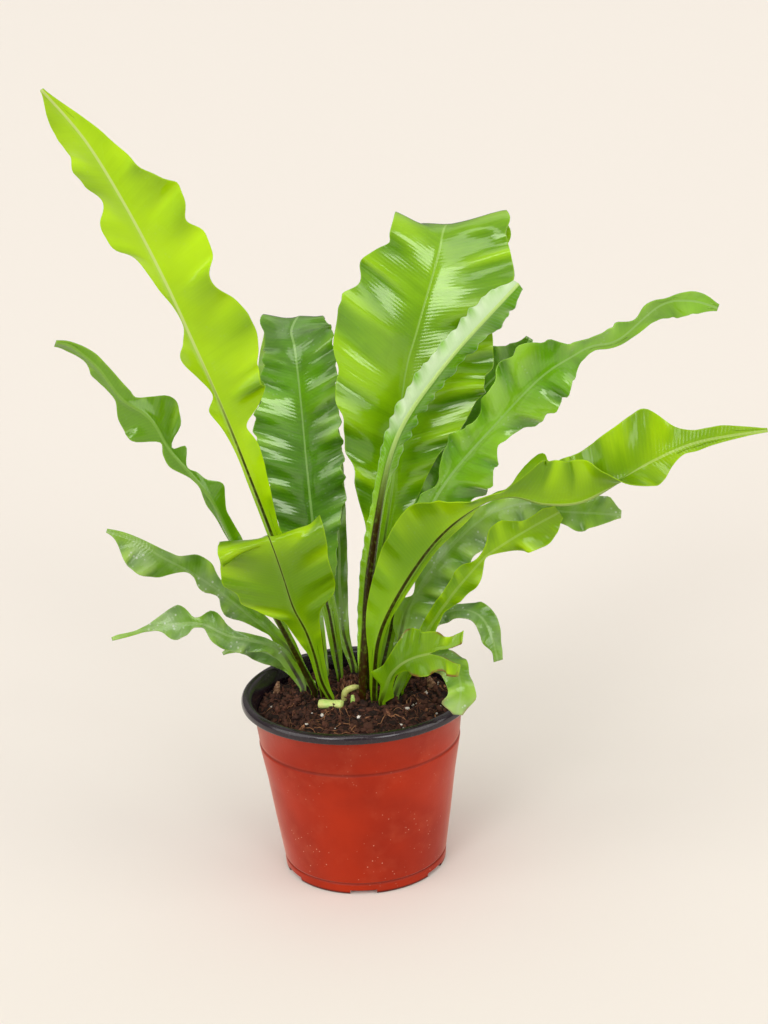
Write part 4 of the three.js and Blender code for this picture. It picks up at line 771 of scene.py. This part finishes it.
# Pot: thin polypropylene, red-brown outside, black inside and over the rolled rim
pot = {                                         # mm and degrees
    "height": 112, "rimRadius": 70, "rimDrop": 5.5, "rimThickness": 1.8, "bodyTopRadius": 63.2,
    "shoulderHeight": 83, "shoulderRadius": 61, "shoulderStep": 0.8, "wallTop": 106,
    "footRadius": 49.5, "footHeight": 7, "footGroove": 0.7, "wall": 1.8, "floor": 5,
    "notches": 6, "notchWidth": 16, "notchHeight": 2.8, "notchDepth": 4, "notchStart": -92,
    "spokes": 180, "redCorner": 0.7, "blackCorner": 0.9,            # how far each corner is rounded
    "red": "a42600", "redDeep": "7a1400", "redWorn": "c25a3c", "splash": "cc9078", "sheen": "ffd0c0",
    # the two dark colours on the next line are painted: shade in the grooves, and the contact shadow at the
    # foot
    "grooveShade": "4a1008", "footContactShadow": "280e08", "black": "1c1119", "blackDust": "6a6064",
    "cloud": 45.45, "splashPatch": 20.83,       # sizes of the patterns on the red wall
    "speck": 3.03,                              # spacing of the dried specks
    "grit": 1.11,                               # about 0.3 mm on the real wall, drawn coarser to show
    "blackCloud": 16.67, "blackGrit": 1.43,
}


def potInside(height):                          # inner wall radius at a height
    low = pot["footRadius"] - pot["wall"] - 0.4
    high = pot["shoulderRadius"] - pot["shoulderStep"] - pot["wall"]
    if height <= pot["shoulderHeight"]:
        return low + (high - low) * height / pot["shoulderHeight"]
    share = (height - pot["shoulderHeight"]) / (pot["wallTop"] - pot["shoulderHeight"])
    return high + (pot["bodyTopRadius"] - pot["wall"] - high) * share


def rounded(profile, cut, steps=3):             # profile with each corner turned into a small arc
    points = [np.array(p, float) for p in profile]
    made = [points[0]]
    for before, corner, after in zip(points, points[1:], points[2:]):
        a, b = before - corner, after - corner
        size = min(cut, 0.45 * np.linalg.norm(a), 0.45 * np.linalg.norm(b))
        a, b = corner + unit(a) * size, corner + unit(b) * size
        for t in np.linspace(0, 1, steps + 1):
            made.append((1 - t) ** 2 * a + 2 * t * (1 - t) * corner + t * t * b)
    return made + [points[-1]]


def potProfile():                               # radius and height: the red outside, then the black inside
    top, rim, foot, groove = pot["height"], pot["rimRadius"], pot["footRadius"], pot["footHeight"]
    rimBottom, rimInside, bodyTop = top - pot["rimDrop"], rim - pot["rimThickness"], pot["bodyTopRadius"]
    shoulder, level, step = pot["shoulderRadius"], pot["shoulderHeight"], pot["shoulderStep"]
    red = [
        (0, 0), (foot - pot["notchDepth"], 0), (foot - 0.8, 0), (foot, 0.8), (foot + 0.1, pot["notchHeight"]),
        (foot + 0.3, groove - 0.9), (foot - pot["footGroove"] + 0.3, groove), (foot + 0.5, groove + 0.9),
        (foot + 4.3, 34), (foot + 7.8, 60), (shoulder, level - 1.2), (shoulder - step, level),
        (shoulder - step + 0.7, level + 2.2), (bodyTop, rimBottom - 0.4),
    ]
    black = [
        (bodyTop, rimBottom - 0.4), (rimInside - 0.4, rimBottom + 2.4), (rimInside, rimBottom),
        (rim - 0.6, rimBottom), (rim, rimBottom + 0.8), (rim, top - 2.2), (rim - 1, top - 0.5),
        (rim - 2.6, top), (rim - 4.6, top - 0.4), (rim - 6.4, top - 2), (potInside(104), 104),
        (potInside(level), level), (potInside(pot["floor"]), pot["floor"]), (0, pot["floor"]),
    ]
    redLine, blackLine = rounded(red, pot["redCorner"]), rounded(black, pot["blackCorner"])
    return np.array(redLine + blackLine[1:]), len(redLine)


def makePot(redPlastic, blackPlastic):
    line, redCount = potProfile()
    half = math.degrees(pot["notchWidth"] / 2 / pot["footRadius"])
    spacing = 360 / pot["notches"]
    angles = set(np.linspace(0, 360, pot["spokes"] + 1)[:-1].round(4))
    for k in range(pot["notches"]):             # two close spokes at each side of a notch keep it sharp
        middle = pot["notchStart"] + spacing * k
        angles |= {round((middle + d) % 360, 4) for d in (-half - 0.2, -half, half, half + 0.2)}
    angles = np.array(sorted(angles))
    count = len(angles)
    inNotch = np.abs((angles - pot["notchStart"] + spacing / 2) % spacing - spacing / 2) <= half + 0.01
    radius, height = np.repeat(line[:, :1], count, 1), np.repeat(line[:, 1:], count, 1)
    atFoot = (line[:, 0] > pot["footRadius"] - pot["notchDepth"] - 0.01) & (line[:, 1] < pot["notchHeight"])
    height[np.ix_(atFoot, inNotch)] = pot["notchHeight"]
    turn = np.radians(angles)
    points = np.stack([radius * np.cos(turn), radius * np.sin(turn), height], -1).reshape(-1, 3)
    faces = tubeWall(len(line), count)
    # the outside and the inside of the floor each close to one point
    faces[:count] = [(0, c, d) for a, b, c, d in faces[:count]]
    faces[-count:] = [(a, b, (len(line) - 1) * count) for a, b, c, d in faces[-count:]]
    parts = [0 if n < (redCount - 1) * count else 1 for n in range(len(faces))]
    return addPiece("nurseryPot", points, faces, [redPlastic, blackPlastic], ["pot"], parts)


def redPlasticMaterial():
    # injection-moulded polypropylene: a dull skin with a soft wide sheen, pale scuffs and dried splashes; its
    # grooves carry painted shade and its foot a painted contact shadow
    material, tree = newMaterial("mouldedPolypropyleneRed")
    here = addNode(tree, "TexCoord").outputs["Object"]
    source = {"height": addNode(tree, "SeparateXYZ", {0: here}).outputs["Z"]}
    for key, detail, roughness in (("cloud", 4.0, 0.5), ("grit", 2.0, 0.5), ("splashPatch", 3.0, 0.6)):
        source[key] = addNode(tree, "TexNoise", {
            "Vector": here, "Scale": perMetre(pot[key]), "Detail": detail,
            "Roughness": roughness}).outputs["Fac"]
    source["speck"] = addNode(tree, "TexVoronoi", {"Vector": here, "Scale": perMetre(pot["speck"])},
                              feature="F1").outputs["Distance"]
    for key in ("shoulderHeight", "footHeight"):
        away = addNode(tree, "Math", {0: source["height"], 1: pot[key] * mm}, operation="SUBTRACT").outputs[0]
        source[key] = addNode(tree, "Math", {0: away}, operation="ABSOLUTE").outputs[0]
    ramps = {
        "clouded": ("cloud", 0.3, 0.75, 0.0, 0.6), "worn": ("splashPatch", 0.5, 0.8, 0.0, 0.2),
        "inPatch": ("splashPatch", 0.46, 0.62, 0.0, 1.0), "low": ("height", 0.095, 0.02, 0.25, 1.0),
        # painted shade: shoulder and groove darken the step under the shoulder and the groove above the foot
        "specks": ("speck", 0.15, 0.07, 0.0, 1.0), "shoulder": ("shoulderHeight", 0.0013, 0.0003, 0.0, 0.45),
        # painted shadow: foot darkens the lowest 2.4 mm of the wall almost to black, a painted contact shadow
        # where the pot meets the floor
        "groove": ("footHeight", 0.0013, 0.0003, 0.0, 0.45), "foot": ("height", 0.0024, 0.0008, 0.0, 0.9),
        "rough": ("cloud", 0.3, 0.7, 0.42, 0.55),
    }
    # old splashes are many fine pale specks in patches, mostly low on the wall
    products = {"splashed": ("specks", "inPatch", "low")}
    # painted shade darkens the step under the shoulder and the groove above the foot, and a painted contact
    # shadow darkens the lowest band of the foot
    layers = (("clouded", pot["redDeep"]), ("worn", pot["redWorn"]), ("splashed", pot["splash"]),
              ("shoulder", pot["grooveShade"]), ("groove", pot["grooveShade"]), ("foot", pot["footContactShadow"]))
    colour = layColours(tree, source, pot["red"], ramps, products, layers)
    bump = addNode(tree, "Bump", {
        "Strength": 0.25, "Distance": 0.2 * mm, "Height": source["grit"]}).outputs[0]
    shell = addNode(tree, "BsdfPrincipled", {
        "Base Color": colour, "Roughness": source["rough"], "Normal": bump, "IOR": 1.49,
        "Specular IOR Level": 0.2, "Sheen Weight": 0.8, "Sheen Roughness": 0.28,
        "Sheen Tint": linear(pot["sheen"])})
    addNode(tree, "OutputMaterial", {"Surface": shell.outputs[0]})
    return material


def blackPlasticMaterial():
    # the same plastic in carbon black, smoother, so that the rolled rim shows a thin bright line of light
    material, tree = newMaterial("mouldedPolypropyleneBlack")
    here = addNode(tree, "TexCoord").outputs["Object"]
    cloud = addNode(tree, "TexNoise", {
        "Vector": here, "Scale": perMetre(pot["blackCloud"]), "Detail": 4.0}).outputs["Fac"]
    dust = addNode(tree, "TexNoise", {
        "Vector": here, "Scale": perMetre(pot["blackGrit"]), "Detail": 3.0}).outputs["Fac"]
    dusty = addNode(tree, "MapRange", {0: dust, 1: 0.55, 2: 0.8, 3: 0.0, 4: 0.22}).outputs[0]
    colour = addNode(tree, "Mix", {0: dusty, 6: linear(pot["black"]), 7: linear(pot["blackDust"])},
                     data_type="RGBA").outputs[2]
    rough = addNode(tree, "MapRange", {0: cloud, 1: 0.3, 2: 0.7, 3: 0.12, 4: 0.22}).outputs[0]
    bump = addNode(tree, "Bump", {"Strength": 0.2, "Distance": 0.2 * mm, "Height": cloud}).outputs[0]
    shell = addNode(tree, "BsdfPrincipled", {
        "Base Color": colour, "Roughness": rough, "Normal": bump, "IOR": 1.49})
    addNode(tree, "OutputMaterial", {"Surface": shell.outputs[0]})
    return material


makePot(redPlasticMaterial(), blackPlasticMaterial())
print("pot: turned, notched and coloured")


# Compost: damp peat with bark crumbs, fibres and white perlite
compost = {                                     # mm
    "centre": 103, "wall": 101, "bump": 0.6, "gap": 0.3, "rings": 62, "spokes": 220,
    "clods": [(17, 1.0), (8.3, 0.9), (4.1, 0.5), (2.2, 0.28)],      # spacing and height of the unevenness
    "crumbs": 820, "crumbSize": (0.8, 3.2), "chips": 150, "chipSize": (2.0, 5.5),
    "scraps": 26, "scrapSize": (1.6, 3.4),      # reddish scraps of old crown in front of it
    "scrapX": (-2, 5), "scrapY": (3, 3.4),      # their middle and spread
    "fibres": 330, "fibreLength": (6, 26), "grains": 42, "grainSize": (0.5, 1.5),
    "peat": "3f251a", "peatDeep": "20110c", "crumb": "4f2f21", "bark": "613a2b", "fibre": "a0704c",
    "grain": "f2ece2", "grainShade": "cfc7ba",
}
crown = {                                       # mm; all litter but the scraps keeps clear of it
    "x": -5, "y": 18, "radius": 7.8, "bottom": 98, "top": 110, "clear": 8, "sides": 40,
    "scales": 210, "scaleLength": (3.2, 5.6), "scaleWidth": (0.7, 1.3), "scaleThickness": 0.12,
}


def soilHeight(x, y):                           # the same low mound as the CAD solid
    out = np.hypot(x, y) / potInside(compost["wall"])
    bumps = np.sin(x * 0.21 + 1.3) * np.cos(y * 0.17) + np.sin(x * 0.09 - y * 0.24)
    mound = compost["centre"] + (compost["wall"] - compost["centre"]) * out ** 2
    return mound + compost["bump"] * 0.5 * bumps * (1 - out ** 4)


def makeLumps(seed, sizes):                     # sum of seeded ripples that stands for clods of peat
    rng = np.random.default_rng(seed)
    ripples = []
    for pitch, height in sizes:
        for _ in range(5):
            turn = rng.random() * fullTurn
            ripples.append((math.cos(turn) / pitch, math.sin(turn) / pitch, rng.random() * fullTurn, height))
    return ripples


clods = makeLumps(5, compost["clods"])


def roughSoil(x, y):
    out = np.hypot(x, y) / potInside(compost["wall"])
    lumps = sum(h * np.sin(fullTurn * (a * x + b * y) + c) for a, b, c, h in clods) / 2.2
    return soilHeight(x, y) + lumps * (1 - 0.6 * out ** 6)


def makeSoil(material):
    outer = potInside(compost["wall"]) - compost["gap"]
    rings, spokes = compost["rings"], compost["spokes"]
    turn = np.linspace(0, fullTurn, spokes, endpoint=False)
    radius = np.linspace(0, 1, rings + 1)[1:] * outer
    x, y = radius[:, None] * np.cos(turn), radius[:, None] * np.sin(turn)
    top = np.stack([x, y, roughSoil(x, y)], -1).reshape(-1, 3)
    low = pot["floor"] + compost["gap"]
    wallRings = []
    for level, height in ((pot["shoulderHeight"], pot["shoulderHeight"]), (pot["floor"], low)):
        r = potInside(level) - compost["gap"]
        wallRings.append(np.stack([r * np.cos(turn), r * np.sin(turn), np.full(spokes, height)], -1))
    middle = float(roughSoil(np.array(0.0), np.array(0.0)))
    points = np.concatenate([[[0, 0, middle]], top, *wallRings, [[0, 0, low]]])
    faces = [(0, 1 + j, 1 + (j + 1) % spokes) for j in range(spokes)]
    faces += [(a, d, c, b) for a, b, c, d in tubeWall(rings + 2, spokes, 1)]    # rings run outward, then down
    start, last = 1 + (rings + 1) * spokes, len(points) - 1
    faces += [(start + j, last, start + (j + 1) % spokes) for j in range(spokes)]
    return addPiece("compostBed", points, faces, [material], ["soil"], None,
                    {"tone": np.zeros(len(points))})


def ball():                                     # small rough round solid: points and faces
    g = (1 + 5 ** 0.5) / 2
    points = [(-1, g, 0), (1, g, 0), (-1, -g, 0), (1, -g, 0), (0, -1, g), (0, 1, g),
              (0, -1, -g), (0, 1, -g), (g, 0, -1), (g, 0, 1), (-g, 0, -1), (-g, 0, 1)]
    faces = [(0, 11, 5), (0, 5, 1), (0, 1, 7), (0, 7, 10), (0, 10, 11), (1, 5, 9), (5, 11, 4), (11, 10, 2),
             (10, 7, 6), (7, 1, 8), (3, 9, 4), (3, 4, 2), (3, 2, 6), (3, 6, 8), (3, 8, 9), (4, 9, 5),
             (2, 4, 11), (6, 2, 10), (8, 6, 7), (9, 8, 1)]
    points = [unit(np.array(p, float)) for p in points]
    middle = {}

    def between(a, b):
        key = (min(a, b), max(a, b))
        if key not in middle:
            middle[key] = len(points)
            points.append(unit(points[a] + points[b]))
        return middle[key]

    fine = []
    for a, b, c in faces:
        ab, bc, ca = between(a, b), between(b, c), between(c, a)
        fine += [(a, ab, ca), (b, bc, ab), (c, ca, bc), (ab, bc, ca)]
    return np.array(points), fine


def randomTurn(rng):
    spin = rng.normal(size=4)
    w, x, y, z = spin / np.linalg.norm(spin)
    return np.array([[1 - 2 * (y * y + z * z), 2 * (x * y - z * w), 2 * (x * z + y * w)],
                     [2 * (x * y + z * w), 1 - 2 * (x * x + z * z), 2 * (y * z - x * w)],
                     [2 * (x * z - y * w), 2 * (y * z + x * w), 1 - 2 * (x * x + y * y)]])


unitBall = ball()
stalkFeet = np.array([frond["spine"][0][:2] for frond in fronds.values()])


def placeOnSoil(rng, margin, keepClear):        # a random free place on the compost
    outer = potInside(compost["wall"]) - compost["gap"] - margin
    while True:
        x, y = rng.uniform(-outer, outer, 2)
        clearOfStalks = np.hypot(*(stalkFeet - (x, y)).T).min() > keepClear
        clearOfCrown = math.hypot(x - crown["x"], y - crown["y"]) > crown["clear"]
        if math.hypot(x, y) < outer and clearOfStalks and clearOfCrown:
            return x, y


def lump(rng, size, squash):                    # a crumb: a ball with two ripples, flattened and turned
    points, faces = unitBall
    ripple = 1 + 0.28 * np.sin(points @ rng.normal(size=3) * 2.6 + 1)
    ripple = ripple + 0.16 * np.sin(points @ rng.normal(size=3) * 5)
    return (points * ripple[:, None] * size * np.array(squash)) @ randomTurn(rng).T, faces


def strand(line, radius):                       # thin square tube along a line
    line = np.asarray(line, float)
    along = unit(np.gradient(line, axis=0))
    side = unit(np.cross(along, np.array([0.13, 0.31, 0.94])))
    other = np.cross(along, side)
    size = np.broadcast_to(np.asarray(radius, float), (len(line),))[:, None]
    ring = [line + side * size, line + other * size, line - side * size, line - other * size]
    return np.stack(ring, 1).reshape(-1, 3), closedTube(len(line), 4)


def makeLitter(peatMaterial, perliteMaterial):
    rng = np.random.default_rng(11)
    crumbs, fibres, grains = Heap(), Heap(), Heap()

    # rise is how far the middle of a lump stands above the peat, as a share of its size
    def lay(heap, size, place, flat, thin, rise, tones):
        x, y = place
        points, faces = lump(rng, size, (1, rng.uniform(*flat), rng.uniform(*thin)))
        heap.add(points + (x, y, roughSoil(x, y) + size * rise), faces, rng.uniform(*tones))

    for _ in range(compost["crumbs"]):
        size = rng.uniform(*compost["crumbSize"]) * rng.uniform(0.5, 1)
        lay(crumbs, size, placeOnSoil(rng, size, 2.2 + size), (0.5, 0.9), (0.4, 0.8), 0.25, (0.1, 0.55))
    for _ in range(compost["chips"]):
        size = rng.uniform(*compost["chipSize"]) / 2
        lay(crumbs, size, placeOnSoil(rng, size, 2.5 + size), (0.25, 0.5), (0.1, 0.25), 0.3, (0.55, 1.0))
    for _ in range(compost["scraps"]):
        size = rng.uniform(*compost["scrapSize"])
        place = rng.normal(*compost["scrapX"]), rng.normal(*compost["scrapY"])
        lay(crumbs, size, place, (0.4, 0.8), (0.4, 0.8), 0.35, (0.55, 0.8))
    for _ in range(compost["fibres"]):
        length = rng.uniform(*compost["fibreLength"])
        x, y = placeOnSoil(rng, length * 0.35, 2.6)
        turn, bend, lift = rng.random() * fullTurn, rng.uniform(-1.6, 1.6), rng.uniform(0.2, 2.4)
        steps = np.linspace(-0.5, 0.5, 8)
        heading = turn + bend * steps
        px = x + np.cumsum(np.cos(heading)) * length / 8 - math.cos(turn) * length / 2
        py = y + np.cumsum(np.sin(heading)) * length / 8 - math.sin(turn) * length / 2
        pz = roughSoil(px, py) + 0.15 + lift * (0.25 - steps ** 2) * 2
        if np.hypot(px, py).max() < potInside(compost["wall"]) - 1:         # the others would reach the wall
            radius = rng.uniform(0.1, 0.3) * (1.1 - np.abs(steps))
            points, faces = strand(np.stack([px, py, pz], -1), radius)
            fibres.add(points, faces, rng.uniform(0.3, 1.1))
    for _ in range(compost["grains"]):
        size = rng.uniform(*compost["grainSize"])
        lay(grains, size, placeOnSoil(rng, size + 1, 3), (0.6, 0.95), (0.5, 0.9), 0.35, (0, 1))
    crumbs.make("compostCrumbs", peatMaterial, "compost")
    fibres.make("compostFibres", peatMaterial, "compost")
    grains.make("perliteGrains", perliteMaterial, "compost")


def toneMaterial(name, colours, roughness, grain, relief, gloss=0.3):       # grain and relief in mm
    # earthy things: the tone number of each small solid picks its colour, and noise breaks it up
    material, tree = newMaterial(name)
    here = addNode(tree, "TexCoord").outputs["Object"]
    noise = addNode(tree, "TexNoise", {
        "Vector": here, "Scale": perMetre(grain), "Detail": 5.0, "Roughness": 0.65}).outputs["Fac"]
    tone = addNode(tree, "Attribute", attribute_name="tone").outputs["Fac"]
    spread = addNode(tree, "MapRange", {0: noise, 1: 0.3, 2: 0.7, 3: -0.28, 4: 0.28}).outputs[0]
    total = addNode(tree, "Math", {0: tone, 1: spread}, operation="ADD").outputs[0]
    ramp = addNode(tree, "ValToRGB", {0: total})
    stops = ramp.color_ramp.elements
    stops.remove(stops[1])
    for k, (place, colour) in enumerate(colours):
        stop = stops[0] if k == 0 else stops.new(place)
        stop.position, stop.color = place, linear(colour)
    bump = addNode(tree, "Bump", {"Strength": 0.8, "Distance": relief * mm, "Height": noise}).outputs[0]
    skin = addNode(tree, "BsdfPrincipled", {
        "Base Color": ramp.outputs[0], "Roughness": roughness, "Normal": bump, "Specular IOR Level": gloss})
    addNode(tree, "OutputMaterial", {"Surface": skin.outputs[0]})
    return material


# damp peat drinks the light; broken bark and coir in it are the only lighter marks
peat = toneMaterial("dampPeatAndBark", [
    (0.0, compost["peatDeep"]), (0.2, compost["peat"]), (0.5, compost["crumb"]), (0.8, compost["bark"]),
    (1.0, compost["fibre"])], 0.85, 3.846, 0.4)
# expanded perlite: dull white glass foam, the brightest thing in the pot
perlite = toneMaterial("expandedPerlite", [(0.0, compost["grainShade"]), (1.0, compost["grain"])],
                       0.8, 1.25, 0.2)
makeSoil(peat)
makeLitter(peat, perlite)
print("compost: bed, crumbs, fibres and perlite are laid")


# Crown: a low rootstock covered with dry brown scales
def makeCrown(material):
    rng = np.random.default_rng(23)
    heap = Heap()
    radius, bottom, top, sides = crown["radius"], crown["bottom"], crown["top"], crown["sides"]
    centre = np.array([crown["x"], crown["y"], 0])
    profile = rounded([(0, bottom), (radius - 0.6, bottom), (radius - 0.2, bottom + 5),
                       (radius - 1.4, bottom + 8.5), (radius - 4.2, top - 1.2), (0, top - 0.4)], 1.5)
    points = [[0, 0, bottom]]
    turn = np.linspace(0, fullTurn, sides, endpoint=False)
    for r, z in profile[1:-1]:
        points += np.stack([r * np.cos(turn), r * np.sin(turn), np.full(sides, z)], -1).tolist()
    points.append([0, 0, top - 0.4])
    rings = len(profile) - 2
    lastRing = 1 + (rings - 1) * sides
    faces = [(0, 1 + (j + 1) % sides, 1 + j) for j in range(sides)] + tubeWall(rings, sides, 1)
    faces += [(lastRing + j, lastRing + (j + 1) % sides, len(points) - 1) for j in range(sides)]
    heap.add(np.array(points) + centre, faces, 0.25)
    for _ in range(crown["scales"]):            # scales overlap like roof tiles, points upward
        turn, rise = rng.random() * fullTurn, rng.random() ** 0.8
        z = bottom + 4 + rise * (top - bottom - 4.5)
        r = radius * math.sqrt(max(1 - (rise * 0.93) ** 2.6, 0.02)) * 0.97
        size, wide = rng.uniform(*crown["scaleLength"]), rng.uniform(*crown["scaleWidth"])
        out = np.array([math.cos(turn), math.sin(turn), 0])
        side = np.array([-math.sin(turn), math.cos(turn), 0])
        rising = unit(np.array([0, 0, 1.0]) + out * rng.uniform(-0.5, 0.35) + side * rng.uniform(-0.4, 0.4))
        foot = out * (r - 0.3) + (0, 0, z - 2)
        thick = unit(np.cross(side, rising)) * crown["scaleThickness"]
        scale = []
        for t, w in ((0, wide * 0.6), (0.35, wide), (0.7, wide * 0.7), (1, 0.05)):
            p = foot + rising * size * t + out * 0.9 * t * (1 - t)
            scale += [p + side * w, p + thick, p - side * w, p - thick]
        heap.add(np.array(scale) + centre, closedTube(4, 4), rng.uniform(0.3, 1.0))
    return heap.make("scalyCrown", material, "crown_scales", ["crown"])


# papery scales: thin, dry and reddish brown, darker at the root
makeCrown(toneMaterial("dryCrownScales", [(0.0, "1e110b"), (0.4, "4b2a1b"), (0.8, "7c4e36"), (1.0, "a07050")],
                       0.6, 2.381, 0.2, 0.4))


# Small things on the compost
smallThings = {                                 # mm and degrees
    "cutStub": {"middle": (-16, -7, 105.2), "length": 15, "radius": 3.7, "turn": -12, "flat": 0.75,
                "swell": ([-0.5, -0.4, 0, 0.44, 0.5], [0.82, 1.0, 0.86, 0.98, 0.6])},
    "curledStub": {"path": [[-8, 6, 99], [-8, 6, 104], [-7, 5, 108], [-3, 4, 110.5], [1, 6, 110]],
                   "radii": [2.2, 2.3, 2.1, 1.8, 1.2]},
    "greenSprout": {"path": [[-3, -4, 99], [-3, -4, 105], [-3, -4, 109]], "radii": [1.6, 1.5, 0.9]},
    # x, y, width, thickness, height, lean of each chip
    "barkChips": [(-50, 22, 4, 1.6, 12, 12), (45, 20, 5, 1.6, 11, -14)],
    "barkSunk": 4,                              # how deep the chips stand in the compost
}


def tubeAlong(path, radii, steps, sides, flat=1.0):
    share = np.linspace(0, 1, steps)
    line, radius = smoothList(path, share), smoothList(radii, share)
    along = unit(np.gradient(line, axis=0))
    across = np.tile(np.array([0.0, 1.0, 0.0]), (steps, 1))
    across = unit(across - along * (across * along).sum(-1, keepdims=True))
    other = np.cross(along, across)
    turn = np.linspace(0, fullTurn, sides, endpoint=False)
    ring = (line[:, None] + across[:, None] * (radius[:, None] * np.cos(turn))[..., None]
            + other[:, None] * (flat * radius[:, None] * np.sin(turn))[..., None])
    return ring.reshape(-1, 3), closedTube(steps, sides)


def makeSmallThings(flesh, bark):
    stub = smallThings["cutStub"]
    share = np.linspace(-0.5, 0.5, 14)
    turn = math.radians(stub["turn"])
    heading = (math.cos(turn), math.sin(turn), 0)
    line = np.array(stub["middle"]) + np.outer(share * stub["length"], heading)
    radii = stub["radius"] * np.interp(share, *stub["swell"])
    points, faces = tubeAlong(line.tolist(), radii.tolist(), 40, 24, stub["flat"])
    addPiece("cutStub", points, faces, [flesh], ["cut_stub"], None,
             {"tone": np.full(len(points), 0.55)})
    for name, node, tone in (("curledStub", "curled_stub", 0.35), ("greenSprout", "sprout", 0.75)):
        points, faces = tubeAlong(smallThings[name]["path"], smallThings[name]["radii"], 30, 14)
        addPiece(name, points, faces, [flesh], [node], None,
                 {"tone": np.full(len(points), tone)})
    rng = np.random.default_rng(31)
    levels, around = 16, 12
    turn = np.linspace(0, fullTurn, around, endpoint=False)
    for k, (x, y, wide, thick, tall, lean) in enumerate(smallThings["barkChips"]):
        rings = []
        for t in np.arange(levels) / (levels - 1):
            narrow = 0.75 + 0.25 * math.sin(math.pi * min(t * 1.2, 1)) - 0.35 * max(t - 0.75, 0) / 0.25
            torn = 1 + 0.12 * rng.normal(size=around)
            px = wide / 2 * narrow * np.cos(turn) * torn
            py = thick / 2 * np.sin(turn) * torn
            rings.append(np.stack([px, py, np.full(around, (t - 0.5) * tall)], -1))
        a = math.radians(lean)
        leaning = np.array([[math.cos(a), 0, -math.sin(a)], [0, 1, 0], [math.sin(a), 0, math.cos(a)]])
        ground = float(soilHeight(np.array(float(x)), np.array(float(y))))
        points = np.array(rings).reshape(-1, 3) @ leaning
        points += (x, y, ground + tall / 2 - smallThings["barkSunk"])
        addPiece(f"barkChip{k + 1}", points, closedTube(levels, around), [bark], [f"bark_chip_{k + 1}"],
                 None, {"tone": rng.uniform(0.2, 0.9, len(points))})


# wet plant flesh without leaf: pale, a little shiny
stubFlesh = toneMaterial("cutStalkFlesh", [
    (0.0, "a8a450"), (0.4, "d0d47c"), (0.7, "c4dc7c"), (1.0, "94c24c")], 0.45, 3.333, 0.1, 0.5)
# pine bark: dull, grained, lighter where it was torn
barkSkin = toneMaterial("tornPineBark", [(0.0, "3a2418"), (0.5, "7c5a40"), (1.0, "b89474")], 0.8, 2.0, 0.3)
makeSmallThings(stubFlesh, barkSkin)
print("crown and small things: placed")
